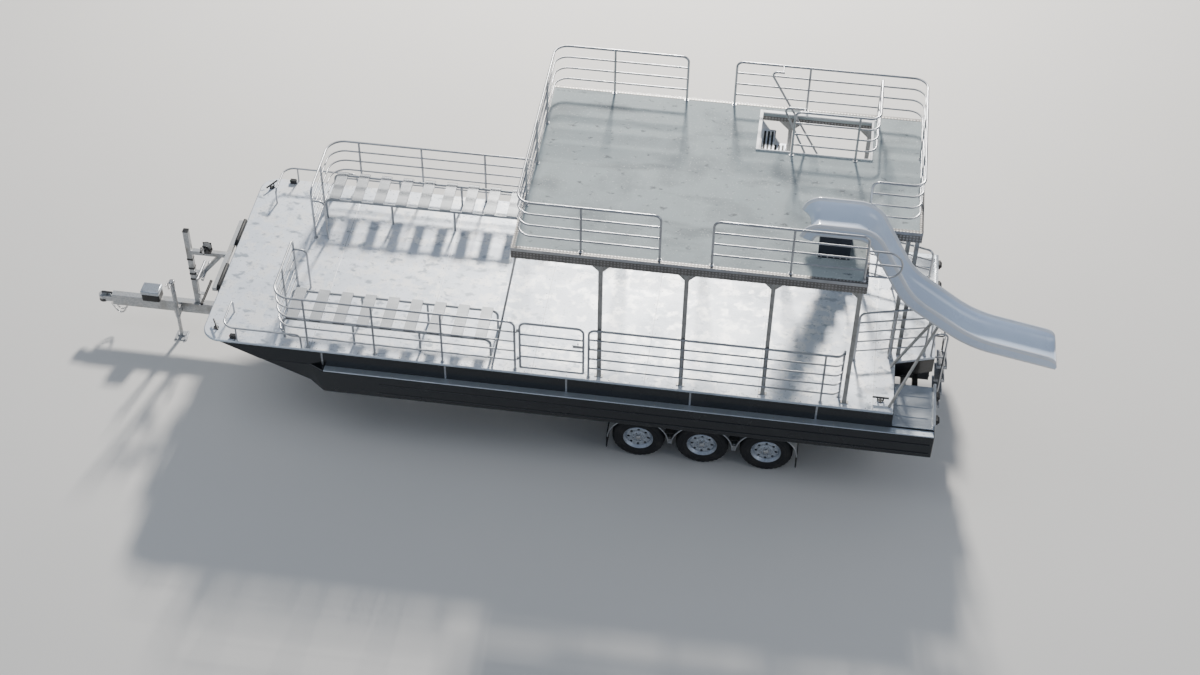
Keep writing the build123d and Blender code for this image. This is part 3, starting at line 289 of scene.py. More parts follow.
lozengePlate = "lozenges", {"Pitch": 0.045, "Sharpness": 0.46}
finishLooks = {
    "deckPlate": {
        "base": (0.77, 0.81, 0.87), "rough": 0.46, "metal": 0.3,
        "layers": (
            mottled(1.1, 7, 0.42, 0.62, (0.64, 0.69, 0.76), 0.5),
            mottled(6, 9, 0.49, 0.6, (0.9, 0.91, 0.92), 0.38),
            scuffedAndStreakSheen(11, 1.5, 0.57, 0.68, (0.42, 0.465, 0.52), 0.34),
            mottled(28, 4, 0.6, 0.7, (0.5, 0.54, 0.59), 0.4),
        ),
        "bumps": (grained(0.0006),),
    },
    "upperFloor": {
        "base": (0.34, 0.395, 0.405), "rough": 0.85,
        "layers": (
            mottled(0.5, 6, 0.3, 0.75, (0.45, 0.5, 0.5), 0.88),
            mottled(3, 12, 0.45, 0.75, (0.37, 0.415, 0.42), 0.9),
            mottled(1.3, 15, 0.53, 0.68, (0.25, 0.285, 0.295), 0.8),
            scuffedAndStreakSheen(3, 4, 0.56, 0.72, (0.2, 0.23, 0.24), 0.75),
            scuffedAndStreakSheen(12, 1.5, 0.62, 0.72, (0.14, 0.16, 0.17), 0.75),
            mottled(40, 4, 0.6, 0.72, (0.55, 0.58, 0.58), 0.85),
        ),
        "bumps": (grained(0.0016, 220, 3),),
    },
    "railMetal": {
        "base": (0.5, 0.51, 0.53), "rough": 0.3, "metal": 0.9,
        "layers": (mottled(5, 5, 0.4, 0.75, (0.37, 0.375, 0.385), 0.42),),
        "bumps": (grained(0.0002),),
    },
    "benchMetal": {
        "base": (0.36, 0.375, 0.39), "rough": 0.48, "metal": 0.6,
        "layers": (scuffedAndStreakSheen(8, 4, 0.5, 0.72, (0.47, 0.48, 0.5), 0.4),),
        "bumps": (grained(0.0003),),
    },
    "plateEdge": {
        "base": (0.17, 0.16, 0.15), "rough": 0.45, "metal": 0.6,
        "layers": (
            mottled(5, 6, 0.45, 0.7, (0.25, 0.235, 0.22), 0.5),
            (*lozengePlate, (0.85, 0.85, 0.85), 0.2),
        ),
        "bumps": ((*lozengePlate, 0.006),),
    },
    "postMetal": {
        "base": (0.42, 0.415, 0.4), "rough": 0.42, "metal": 0.8,
        "layers": (scuffedAndStreakSheen(9, 2, 0.5, 0.7, (0.33, 0.32, 0.3), 0.5),),
        "bumps": (grained(0.0003),),
    },
    # the lighter streaks here are painted streak highlights of the plate's shine, laid with the scuffs mask
    "stepPlate": {
        "base": (0.5, 0.53, 0.56), "rough": 0.2, "metal": 0.95,
        "layers": (scuffedAndStreakSheen(2, 6, 0.4, 0.75, (0.68, 0.7, 0.72), 0.32),),
        "bumps": (mottled(1.6, 1, 0.3, 0.7, 0.006), grained(0.0003)),
    },
    # the blue in this grey metal is a painted sky reflection on the ledge strips and the rub rail
    "ledgeMetal": {
        "base": (0.6, 0.66, 0.72), "rough": 0.34, "metal": 0.8,
        "layers": (mottled(3, 4, 0.45, 0.7, (0.5, 0.55, 0.6), 0.45),),
        "bumps": (grained(0.0003),),
    },
    "hullBlack": {
        "base": (0.007, 0.008, 0.01), "rough": 0.24, "coat": 0.35,
        "layers": (
            mottled(1.6, 6, 0.55, 0.8, (0.014, 0.014, 0.015), 0.42),
            scuffedAndStreakSheen(5, 9, 0.7, 0.82, (0.03, 0.03, 0.03), 0.5),
        ),
        "bumps": (mottled(0.7, 2, 0.3, 0.7, 0.004),),
    },
    "galvanised": {
        "base": (0.5, 0.51, 0.52), "rough": 0.42, "metal": 0.75,
        "layers": (
            spangled(45, 0.2, 1, (0.38, 0.4, 0.42), 0.5),
            mottled(4, 5, 0.5, 0.7, (0.33, 0.32, 0.3), 0.6),
        ),
        "bumps": (grained(0.0004),),
    },
    "wheelZinc": {
        "base": (0.56, 0.6, 0.66), "rough": 0.3, "metal": 0.85,
        "layers": (spangled(60, 0.2, 1, (0.44, 0.48, 0.53), 0.4),),
        "bumps": (grained(0.0003),),
    },
    # the shell's blue tint is painted sky-lit shade: it is a bluer copy of the same plastic as the rim below
    "slideShell": {
        "base": (0.6, 0.69, 0.83), "rough": 0.24, "coat": 0.5,
        "layers": (mottled(2.5, 4, 0.5, 0.75, (0.55, 0.64, 0.79), 0.32),),
        "bumps": (mottled(1.5, 1, 0.3, 0.7, 0.002),),
    },
    # paler, less blue grey for the rim strip and the lip bead: the unshaded copy of the shell's plastic,
    # beside its painted blue shade
    "slideRim": {
        "base": (0.7, 0.725, 0.77), "rough": 0.2, "coat": 0.6,
        "layers": (mottled(6, 3, 0.5, 0.8, (0.62, 0.655, 0.71), 0.28),),
    },
    # near-black navy that is painted shade: it stands for the shade on the base's faces under the slide
    "pedestal": {
        "base": (0.03, 0.036, 0.05), "rough": 0.45,
        "layers": (mottled(3, 5, 0.5, 0.7, (0.06, 0.068, 0.085), 0.6),),
        "bumps": (grained(0.0005),),
    },
    "tyreRubber": {
        "base": (0.018, 0.018, 0.019), "rough": 0.72,
        "layers": (mottled(7, 6, 0.5, 0.75, (0.05, 0.047, 0.043), 0.9),),
        "bumps": (grained(0.0004, 600, 2),),
    },
    "bunkCarpet": {
        "base": (0.035, 0.036, 0.038), "rough": 0.97,
        "layers": (mottled(30, 3, 0.4, 0.7, (0.07, 0.07, 0.072), 1.0),),
        "bumps": (grained(0.004, 900, 3),),
    },
    "blackRubber": {
        "base": (0.014, 0.014, 0.015), "rough": 0.6,
        "layers": (mottled(18, 4, 0.55, 0.7, (0.045, 0.044, 0.042), 0.8),),
        "bumps": (grained(0.0005),),
    },
    "blackPlastic": {
        "base": (0.016, 0.016, 0.017), "rough": 0.38,
        "layers": (mottled(25, 3, 0.5, 0.7, (0.035, 0.035, 0.036), 0.5),),
        "bumps": (grained(0.0003),),
    },
    "darkHardware": {
        "base": (0.09, 0.09, 0.092), "rough": 0.35, "metal": 0.85,
        "layers": (mottled(20, 4, 0.5, 0.7, (0.05, 0.047, 0.042), 0.55),),
    },
    "boltSteel": {
        "base": (0.66, 0.66, 0.67), "rough": 0.28, "metal": 0.95,
        "layers": (mottled(40, 3, 0.45, 0.7, (0.45, 0.44, 0.42), 0.45),),
    },
    "webbing": {
        "base": (0.1, 0.105, 0.11), "rough": 0.85,
        "layers": (mottled(60, 2, 0.4, 0.7, (0.17, 0.175, 0.18), 0.95),),
        "bumps": (ribbed(120, 0.001),),
    },
    "redLens": {
        "base": (0.42, 0.008, 0.008), "rough": 0.12, "coat": 0.8,
        "layers": (mottled(30, 2, 0.4, 0.8, (0.3, 0.005, 0.005), 0.2),),
        "bumps": (ribbed(40, 0.0008),),
    },
    "amberLens": {
        "base": (0.75, 0.25, 0.02), "rough": 0.12, "coat": 0.8,
        "layers": (mottled(30, 2, 0.4, 0.8, (0.6, 0.18, 0.015), 0.2),),
    },
    "greenLens": {
        "base": (0.01, 0.3, 0.09), "rough": 0.12, "coat": 0.8,
        "layers": (mottled(30, 2, 0.4, 0.8, (0.008, 0.2, 0.06), 0.2),),
    },
    "whiteTrim": {
        "base": (0.82, 0.83, 0.83), "rough": 0.4,
        "layers": (mottled(5, 4, 0.5, 0.75, (0.7, 0.7, 0.68), 0.5),),
    },
}
finishes = {name: makeFinish(name, **look) for name, look in finishLooks.items()}
print("finishes made:", len(finishes))


# Shared modelling helpers

def roundFacets(bm, angle=38):
    for face in bm.faces:
        face.smooth = True
    for edge in bm.edges:
        edge.smooth = len(edge.link_faces) == 2 and edge.calc_face_angle(0) < math.radians(angle)


def finishPiece(bm, name, finish, body=hull, angle=38, bevel=0.0, stands=()):
    roundFacets(bm, angle)
    piece = newObject(name, meshFrom(bm, name))
    names = finish if isinstance(finish, (list, tuple)) else [finish]
    for one in names:
        piece.data.materials.append(finishes[one])
    if bevel:
        softened = piece.modifiers.new("edges", "BEVEL")
        softened.width = bevel
        softened.segments = 2
        softened.limit_method = "ANGLE"
        softened.angle_limit = math.radians(40)
        softened.harden_normals = False
    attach(piece, body)
    if stands:
        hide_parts(*stands)
    return piece


def thicken(piece, wall, offset):
    shell = piece.modifiers.new("wall", "SOLIDIFY")
    shell.thickness, shell.offset = wall, offset


def addBox(bm, low, high):
    low, high = Vector(low), Vector(high)
    made = bmesh.ops.create_cube(bm, size=1)["verts"]
    bmesh.ops.scale(bm, vec=high - low, verts=made)
    bmesh.ops.translate(bm, vec=(high + low) / 2, verts=made)


def addBlock(bm, middle, half, low, high):  # an upright box round a middle, between two levels
    (x, y), (long, wide) = middle, half
    addBox(bm, (x - long, y - wide, low), (x + long, y + wide, high))


def turnTo(direction):
    return Vector(direction).normalized().to_track_quat("Z", "Y").to_matrix().to_4x4()


def moveTo(bm, verts, centre, axis):  # from the origin, where their axis is Z
    bmesh.ops.transform(bm, matrix=Matrix.Translation(centre) @ turnTo(axis), verts=verts)


def addRod(bm, start, end, radius, segments=16, tip=None):
    start, end = Vector(start), Vector(end)
    made = bmesh.ops.create_cone(
        bm, cap_ends=True, segments=segments, radius1=radius, radius2=radius if tip is None else tip,
        depth=(end - start).length,
    )["verts"]
    moveTo(bm, made, (start + end) / 2, end - start)
    return made


washer = {"radius": 1.35, "height": 0.25}  # shares of its bolt head's


def addBolts(bm, spots, axis, radius, height):
    axis = Vector(axis)
    for spot in map(Vector, spots):
        addRod(bm, spot, spot + axis * height * washer["height"], radius * washer["radius"], 14)
        addRod(bm, spot, spot + axis * height, radius, 6)


def addBall(bm, centre, radii, rings=8):
    made = bmesh.ops.create_uvsphere(bm, u_segments=2 * rings, v_segments=rings, radius=1)["verts"]
    bmesh.ops.scale(bm, vec=radii, verts=made)
    bmesh.ops.translate(bm, vec=centre, verts=made)


def addLine(bm, spots, closed=False):
    verts = [bm.verts.new(spot) for spot in spots]
    ends = [(verts[-1], verts[0])] if closed else []
    return verts, [bm.edges.new(pair) for pair in [*zip(verts, verts[1:]), *ends]]


def spinRound(bm, verts, edges, steps, flip=False):  # gives every corner of the turned shape
    before = set(bm.verts) - set(verts)
    bmesh.ops.spin(
        bm, geom=verts + edges, cent=(0, 0, 0), axis=(0, 0, 1), dvec=(0, 0, 0), angle=2 * math.pi,
        steps=steps, use_merge=True, use_normal_flip=flip,
    )
    return [vert for vert in bm.verts if vert not in before]


def addRing(bm, centre, axis, radius, thick, around=24, across=8):
    circle = bmesh.ops.create_circle(bm, cap_ends=False, segments=across, radius=thick)["verts"]
    bmesh.ops.rotate(bm, cent=(0, 0, 0), matrix=Matrix.Rotation(math.pi / 2, 3, "X"), verts=circle)
    bmesh.ops.translate(bm, vec=(radius, 0, 0), verts=circle)
    edges = [edge for edge in bm.edges if edge.verts[0] in circle and edge.verts[1] in circle]
    made = spinRound(bm, circle, edges, around, flip=True)
    moveTo(bm, made, centre, axis)
    return made


def revolve(bm, profile, centre, axis, steps):  # profile: (radius, distance along the axis), closed
    line = addLine(bm, [(radius, 0, height) for radius, height in profile], closed=True)
    made = spinRound(bm, *line, steps)
    moveTo(bm, made, centre, axis)
    bmesh.ops.recalc_face_normals(bm, faces=list({face for vert in made for face in vert.link_faces}))


def mirrored(half):  # a whole profile from the half on the far side
    return [(radius, -line) for radius, line in half] + half[::-1]


def sweepAlong(bm, start, route, radii, steps=12, closed=False):  # start: the section at the first end
    verts, edges = addLine(bm, start, closed)
    if closed:
        bm.faces.new(verts)
    route = [Vector(point) for point in route]
    last = route[0]
    longestSpan, nothing = 0.3, 1e-5

    def extrudeBy(edges, step):
        pieces = max(1, int(step.length / longestSpan))
        for _ in range(pieces):
            grown = bmesh.ops.extrude_edge_only(bm, edges=edges)["geom"]
            moved = [item for item in grown if isinstance(item, bmesh.types.BMVert)]
            edges = [item for item in grown if isinstance(item, bmesh.types.BMEdge)]
            bmesh.ops.translate(bm, vec=step / pieces, verts=moved)
        return edges

    for before, corner, after, radius in zip(route, route[1:], route[2:], radii):
        back, onward = (before - corner).normalized(), (after - corner).normalized()
        half = back.angle(onward) / 2
        bendStart = corner + back * radius / math.tan(half)
        centre = corner + (back + onward).normalized() * radius / math.sin(half)
        if (bendStart - last).length > nothing:
            edges = extrudeBy(edges, bendStart - last)
        ring = list({vert for edge in edges for vert in edge.verts})
        bend = bmesh.ops.spin(
            bm, geom=ring + edges, cent=centre, axis=onward.cross(back).normalized(), dvec=(0, 0, 0),
            angle=math.pi - 2 * half, steps=steps,
        )["geom_last"]
        edges = [item for item in bend if isinstance(item, bmesh.types.BMEdge)]
        last = corner + onward * radius / math.tan(half)
    edges = extrudeBy(edges, route[-1] - last)
    bmesh.ops.remove_doubles(bm, verts=bm.verts, dist=nothing)
    if closed:
        bmesh.ops.holes_fill(bm, edges=[edge for edge in edges if edge.is_valid], sides=0)


# CAD nodes carried over: merged, rounded where their facets stand for a curve, edges eased

carried = {
    # node: finish, width of the eased edges
    "port_pontoon": ("hullBlack", 0.012), "starboard_pontoon": ("hullBlack", 0.012),
    "hull_skirts": ("hullBlack", 0.003), "deck_crossbeams": ("postMetal", 0.003),
    "main_deck": ("deckPlate", 0.004), "stern_steps": ("stepPlate", 0.003), "motor_pod": ("hullBlack", 0.006),
    "mooring_cleats": ("blackPlastic", 0.002), "bow_rails": ("railMetal", 0), "side_rails": ("railMetal", 0),
    "stern_rails": ("railMetal", 0), "bow_grab_rails": ("railMetal", 0), "benches": ("benchMetal", 0),
    "upper_deck_posts": ("postMetal", 0.003), "upper_deck_beams": ("plateEdge", 0.003),
    "upper_deck_joists": ("postMetal", 0.003), "upper_deck": ("upperFloor", 0.004),
    "front_struts": ("railMetal", 0.003), "upper_front_rail": ("railMetal", 0),
    "upper_port_rail": ("railMetal", 0), "upper_starboard_rail": ("railMetal", 0),
    "hatch_rail": ("railMetal", 0), "stairs": ("deckPlate", 0.002), "stair_handrails": ("railMetal", 0),
    "slide_base": ("pedestal", 0.006), "slide_braces": ("postMetal", 0.003),
    "ladder_handrails": ("railMetal", 0), "trailer_tongue": ("galvanised", 0.005),
    "frame_rails": ("galvanised", 0.005), "cross_members": ("galvanised", 0.004),
    "bunks": ("bunkCarpet", 0.012), "axles": ("galvanised", 0.002), "leaf_springs": ("darkHardware", 0.002),
    "fenders": ("galvanised", 0), "winch_post": ("galvanised", 0.004),
    "bow_stop_pads": ("blackRubber", 0.025), "coupler": ("galvanised", 0.003),
    "brake_actuator": ("blackPlastic", 0), "tongue_jack": ("galvanised", 0.002),
    "tail_lamps": ("blackPlastic", 0.006), "port_gate": ("railMetal", 0), "starboard_gate": ("railMetal", 0),
    "boarding_ladder": ("railMetal", 0),
}
bodyOf = {node: body for body, nodes in frame["record"]["behaviour"]["bodies"].items() for node in nodes}
facets = {"merged": 2e-5, "flat": 1, "round": 34}  # metres, then the degrees between two faces


def carryOver(node, finish, bevel):
    bm = bmesh.new()
    bm.from_mesh(frame["nodes"][node].data)
    bmesh.ops.remove_doubles(bm, verts=bm.verts, dist=facets["merged"])
    bmesh.ops.dissolve_limit(
        bm, angle_limit=math.radians(facets["flat"]), use_dissolve_boundaries=False,
        verts=bm.verts, edges=bm.edges,
    )
    finishPiece(bm, node + "_finished", finish, bodyOf[node], facets["round"], bevel, (node,))


for node, (finish, bevel) in carried.items():
    carryOver(node, finish, bevel)
print("carried over:", len(carried))


# Slide: one open section run down the rim line, then given its thickness

slide = {
    "line": -1.05,
    "route": ((8.32, 4.4), (8.412, 4.63), (9.33, 4.63), (9.93, 3.53), (10.85, 2.88), (12.03, 2.64)),
    "radii": (0.26, 0.45, 1.0, 1.5),
    "section": (  # half section: out from the middle, drop below the rim
        (0.0, 0.150), (0.06, 0.149), (0.12, 0.143), (0.17, 0.128), (0.205, 0.104), (0.228, 0.07),
        (0.24, 0.035), (0.250, 0.010), (0.262, 0.001), (0.282, 0.001), (0.294, 0.010), (0.298, 0.03),
        (0.298, 0.185), (0.290, 0.197),
    ),
    "rim": (0.24, 0.296),  # out from the middle
    "wall": 0.008,
    "bendSteps": 14,
    "floorDrop": 0.15, "lipLength": 0.19, "lipRings": 9, "lipLeast": 0.05,
}


def roundLip(bm, ends, parts):  # the walls come down to the floor in a round at the lower end
    before, end = (Vector(spot) for spot in ends)
    heading = (end - before).normalized()
    down = along["y"].cross(heading).normalized()
    for ring in range(parts["lipRings"]):
        away = parts["lipLength"] * (1 - math.cos(math.pi / 2 * (ring + 1) / parts["lipRings"]))
        geom = bm.verts[:] + bm.edges[:] + bm.faces[:]
        bmesh.ops.bisect_plane(bm, geom=geom, plane_co=end - heading * away, plane_no=heading)
    for vert in bm.verts:
        away = max((end - vert.co).dot(heading), 0)
        drop = (vert.co - end).dot(down)
        if vert.co.x < before.x or away > parts["lipLength"] or drop > parts["floorDrop"]:
            continue
        share = max(math.sqrt(1 - (1 - away / parts["lipLength"]) ** 2), parts["lipLeast"])
        vert.co += down * (parts["floorDrop"] - drop) * (1 - share)


def slideShell(parts):
    bm = bmesh.new()
    half = parts["section"]
    outline = [(-out, drop) for out, drop in reversed(half[1:])] + list(half)
    first, second = (Vector((at(spot[0]), 0, spot[1])) for spot in parts["route"][:2])
    down = along["y"].cross(second - first).normalized()
    start = [first + along["y"] * (parts["line"] + out) + down * drop for out, drop in outline]
    route = [(at(station), 0, level) for station, level in parts["route"]]
    sweepAlong(bm, start, route, parts["radii"], parts["bendSteps"])
    bmesh.ops.recalc_face_normals(bm, faces=bm.faces)
    if sum(face.normal.z * face.calc_area() for face in bm.faces) < 0:
        bmesh.ops.reverse_faces(bm, faces=bm.faces)
    roundLip(bm, route[-2:], parts)
    # the rim strip takes the paler rim grey, and the rest takes the bluer shell colour, which is painted
    # sky-lit shade
    near, far = parts["rim"]
    for face in bm.faces:
        out = abs(face.calc_center_median().y - parts["line"])
        face.material_index = 1 if near < out < far else 0
    shell = finishPiece(bm, "slide_shell", ["slideShell", "slideRim"], angle=60, stands=("slide",))
    thicken(shell, parts["wall"], -1)
    smooth = shell.modifiers.new("curve", "SUBSURF")
    smooth.levels = smooth.render_levels = 1


slideShell(slide)
print("slide shell made")


# Wheels: treaded tyres, pressed zinc rims, hub caps and nuts

wheel = {
    "stations": {"front": 6.33, "middle": 7.265, "rear": 8.2},
    "height": 0.388, "outerFace": 1.59, "width": 0.235,
    "tyreProfile": (  # radius, distance in from the outer face
        (0.217, 0.03), (0.222, 0.018), (0.24, 0.010), (0.262, 0.006), (0.285, 0.003), (0.288, 0.0005),
        (0.296, 0.0005), (0.299, 0.003), (0.325, 0.004), (0.35, 0.009), (0.368, 0.017), (0.379, 0.03),
        (0.3835, 0.045), (0.386, 0.062), (0.379, 0.063), (0.379, 0.069), (0.387, 0.070), (0.3878, 0.096),
        (0.380, 0.097), (0.380, 0.104), (0.388, 0.105), (0.388, 0.130), (0.380, 0.131), (0.380, 0.138),
        (0.3878, 0.139), (0.387, 0.165), (0.379, 0.166), (0.379, 0.172), (0.386, 0.173), (0.3835, 0.19),
        (0.379, 0.205), (0.368, 0.218), (0.35, 0.226), (0.325, 0.231), (0.285, 0.232), (0.24, 0.225),
        (0.222, 0.217), (0.217, 0.205),
    ),
    "treadSteps": 96, "notchDepth": 0.0065, "shoulderEvery": 3, "crownEvery": 4,  # steps from notch to notch
    "shoulder": 0.05, "shoulderRadius": 0.36, "crownRadius": 0.3856,
    "rimProfile": (
        (0.2135, 0.018), (0.219, 0.016), (0.222, 0.020), (0.2155, 0.026), (0.212, 0.034), (0.206, 0.040),
        (0.198, 0.046), (0.190, 0.052), (0.186, 0.062), (0.184, 0.085), (0.182, 0.150), (0.19, 0.185),
        (0.205, 0.198), (0.214, 0.208), (0.2155, 0.212), (0.208, 0.206), (0.186, 0.192), (0.176, 0.150),
        (0.178, 0.085), (0.181, 0.060), (0.186, 0.048), (0.198, 0.038), (0.206, 0.030),
    ),
    "discRows": (  # radius, distance in from the outer face
        (0.186, 0.064), (0.178, 0.054), (0.172, 0.049), (0.166, 0.046), (0.159, 0.045), (0.152, 0.045),
        (0.146, 0.0455), (0.14, 0.046), (0.133, 0.047), (0.126, 0.049), (0.118, 0.052), (0.108, 0.054),
        (0.098, 0.051), (0.090, 0.044), (0.060, 0.044), (0.030, 0.044),
    ),
    "hubProfile": ((0.0255, 0.05), (0.06, 0.05), (0.062, 0.16), (0.0255, 0.16)),
    "capProfile": (
        (0.0001, 0.006), (0.02, 0.007), (0.034, 0.011), (0.041, 0.02), (0.043, 0.045), (0.0001, 0.045),
    ),
    "discWall": 0.007, "holes": 8, "holeRing": 0.146, "holeRadius": 0.02, "holeCut": 0.0175,
    "nuts": 8, "nutRing": 0.076, "nutFoot": 0.041, "nut": (0.018, 0.0105), "stud": (0.024, 0.006),
    "valve": (0.168, 0.05, 0.03, 0.004),  # radius from the hub, depth, length, thickness
}


def wheelPlace(station, sign):  # centre of the outer face; the axis points inboard
    return Vector((at(station), sign * wheel["outerFace"], wheel["height"])), Vector((0, -sign, 0))


def makeTyre(place, side, sign, station):
    centre, axis = wheelPlace(station, sign)
    bm = bmesh.new()
    revolve(bm, wheel["tyreProfile"], centre, axis, wheel["treadSteps"])
    step = 2 * math.pi / wheel["treadSteps"]
    for vert in bm.verts:
        away = vert.co - centre
        depth = away.dot(axis)
        spoke = away - axis * depth
        crown = wheel["shoulder"] <= depth <= wheel["width"] - wheel["shoulder"]
        part = "crown" if crown else "shoulder"
        turn = round(math.atan2(spoke.z, spoke.x) / step)
        if spoke.length >= wheel[part + "Radius"] and turn % wheel[part + "Every"] == 0:
            vert.co -= spoke.normalized() * wheel["notchDepth"]
    finishPiece(bm, f"{place}_{side}_tyre_tread", "tyreRubber", f"{place}_{side}_wheel", 50,
                stands=(f"{place}_{side}_tyre",))


def pressedDisc(bm, centre, axis):  # the dished disc, with its ring of holes
    spinRound(bm, *addLine(bm, [(radius, 0, depth) for radius, depth in wheel["discRows"]]), 128)
    for number in range(wheel["holes"]):
        angle = 2 * math.pi * number / wheel["holes"]
        middle = Vector((math.cos(angle), math.sin(angle))) * wheel["holeRing"]
        inside = [
            face for face in bm.faces if (face.calc_center_median().xy - middle).length < wheel["holeCut"]
        ]
        bmesh.ops.delete(bm, geom=inside, context="FACES")
        for vert in bm.verts:
            away = vert.co.xy - middle
            if vert.is_boundary and away.length < 2 * wheel["holeCut"]:
                vert.co.xy = middle + away.normalized() * wheel["holeRadius"]
    moveTo(bm, bm.verts, centre, axis)
    bmesh.ops.recalc_face_normals(bm, faces=bm.faces)


def makeRim(place, side, sign, station):
    centre, axis = wheelPlace(station, sign)
    body = f"{place}_{side}_wheel"
    bm = bmesh.new()
    revolve(bm, wheel["rimProfile"], centre, axis, 64)
    revolve(bm, wheel["hubProfile"], centre, axis, 32)
    finishPiece(bm, f"{place}_{side}_rim_pressing", "wheelZinc", body, 40, stands=(f"{place}_{side}_rim",))
    bm = bmesh.new()
    pressedDisc(bm, centre, axis)
    disc = finishPiece(bm, f"{place}_{side}_rim_disc", "wheelZinc", body, 50)
    thicken(disc, wheel["discWall"], 0)
    bm = bmesh.new()
    revolve(bm, wheel["capProfile"], centre, axis, 32)
    (nutTop, nutRadius), (studTop, studRadius) = wheel["nut"], wheel["stud"]
    for number in range(wheel["nuts"]):
        angle = 2 * math.pi * (number + 0.5) / wheel["nuts"]
        spoke = Vector((math.cos(angle), 0, math.sin(angle)))
        spot = centre + spoke * wheel["nutRing"] + axis * wheel["nutFoot"]
        addRod(bm, spot, spot - axis * nutTop, nutRadius, 6)
        addRod(bm, spot - axis * nutTop, spot - axis * studTop, studRadius, 12)
    away, depth, length, thick = wheel["valve"]
    spot = centre + Vector((away, 0, 0)) + axis * depth
    addRod(bm, spot, spot - axis * length, thick, 10)
    finishPiece(bm, f"{place}_{side}_hub_cap", "boltSteel", body, 40)


for place, station in wheel["stations"].items():
    for side, sign in bothSides:
        makeTyre(place, side, sign, station)
        makeRim(place, side, sign, station)
print("wheels made")


# Hull trim: ledge strips, skirt seams, rub rail, strakes and drain plugs

hullTrim = {
    "ledge": (1.8, 10.49), "ledgeLines": (1.803, 1.908), "ledgeTop": 1.44, "ledgeThick": 0.004,
    "bead": (1.903, 0.003, 0.009),  # line, below the ledge's top, radius
    "ledgeBolts": (0.15, 0.42, 1.862), "ledgeBolt": (0.008, 0.006),  # first, pitch, line; radius, height
    "skirt": 1.8, "skirtLevels": (1.446, 1.697), "seams": (1.77, 3.56, 5.3, 7.06, 8.835),
    "seamHalf": 0.013, "seamThick": 0.004, "seamBolts": (0.1, 0.37, 0.63, 0.9), "seamBolt": (0.005, 0.003),
    "rubRoute": ((9.88, 1.8), (0, 1.8), (0, -1.8), (9.88, -1.8)), "rubCorner": 0.26, "rubLevel": 1.72,
    "rubInner": 1.799, "rubHalf": (0.014, 0.016), "rubSteps": 8,
    "strakeLevels": (1.10, 1.27), "strake": 0.011, "strakes": (2.6, 10.45), "outer": 1.91, "hullEnd": 10.5,
    "drains": (1.12, 1.5), "drainLevel": 0.99, "drainCap": (0.012, 0.026), "drainHead": (0.026, 0.012),
}


def trimHull(parts):
    start, end = (at(station) for station in parts["ledge"])
    strips, bolts, seams, strakes = (bmesh.new() for _ in range(4))
    top, thick = parts["ledgeTop"], parts["ledgeThick"]
    beadLine, beadDown, beadRadius = parts["bead"]
    first, pitch, boltLine = parts["ledgeBolts"]
    foot, head = parts["skirtLevels"]
    nose, tail = (at(station) for station in parts["strakes"])
    for sign in (-1, 1):
        low, high = span(*parts["ledgeLines"], sign=sign)
        addBox(strips, (start, low, top), (end, high, top + thick))
        bead = [(x, sign * beadLine, top - beadDown) for x in (start, end)]
        addRod(strips, *bead, beadRadius, 10)
        count = math.ceil((end - start - first) / pitch)
        spots = [(start + first + number * pitch, sign * boltLine, top + thick) for number in range(count)]
        addBolts(bolts, spots, along["z"], *parts["ledgeBolt"])
        face = parts["skirt"] + parts["seamThick"]
        for seam in parts["seams"]:
            low, high = span(parts["skirt"], face, sign=sign)
            half = parts["seamHalf"]
            addBox(seams, (at(seam) - half, low, foot), (at(seam) + half, high, head))
            spots = [(at(seam), sign * face, foot + share * (head - foot)) for share in parts["seamBolts"]]
            addBolts(bolts, spots, (0, sign, 0), *parts["seamBolt"])
        outer = sign * parts["outer"]
        for level in parts["strakeLevels"]:
            addRod(strakes, (nose, outer, level), (tail, outer, level), parts["strake"], 10)
        for line in parts["drains"]:
            spot = Vector((at(parts["hullEnd"]), sign * line, parts["drainLevel"]))
            (capEnd, capRadius), (headEnd, headRadius) = parts["drainCap"], parts["drainHead"]
            addRod(bolts, spot, spot + along["x"] * capEnd, capRadius, 20)
            addRod(bolts, spot + along["x"] * capEnd, spot + along["x"] * headEnd, headRadius, 6)
    finishPiece(strips, "ledge_strips", "ledgeMetal", bevel=0.001)
    finishPiece(bolts, "hull_bolts", "boltSteel")
    finishPiece(seams, "skirt_seams", "railMetal", bevel=0.001)
    finishPiece(strakes, "pontoon_strakes", "hullBlack", angle=60)
    bm = bmesh.new()
    out, up = parts["rubHalf"]
    turns = [math.pi * (step / parts["rubSteps"] - 0.5) for step in range(parts["rubSteps"] + 1)]
    route = [(at(station), line, 0) for station, line in parts["rubRoute"]]
    line, level = parts["rubInner"], parts["rubLevel"]
    outline = [(route[0][0], line + out * math.cos(turn), level + up * math.sin(turn)) for turn in turns]
    sweepAlong(bm, outline, route, (parts["rubCorner"],) * 2, closed=True)
    bmesh.ops.recalc_face_normals(bm, faces=bm.faces)
    finishPiece(bm, "rub_rail", "ledgeMetal", angle=50)


trimHull(hullTrim)

deckTrim = {
    "seams": (1.6, 3.2, 4.8, 6.4, 8.0, 9.6), "half": 1.785, "bead": (0.004, 0.35),  # radius, how flat
    "seamScrews": 12, "beside": 0.04, "edgeScrews": 31, "edgeFirst": 0.5,
    "screwLine": 1.772, "screwPitch": 0.3, "screw": (0.007, 0.0012),  # radius, height
}


def addScrews(bm, spots, radius, height):
    for spot in spots:
        addRod(bm, spot, spot + along["z"] * height, radius, 8)


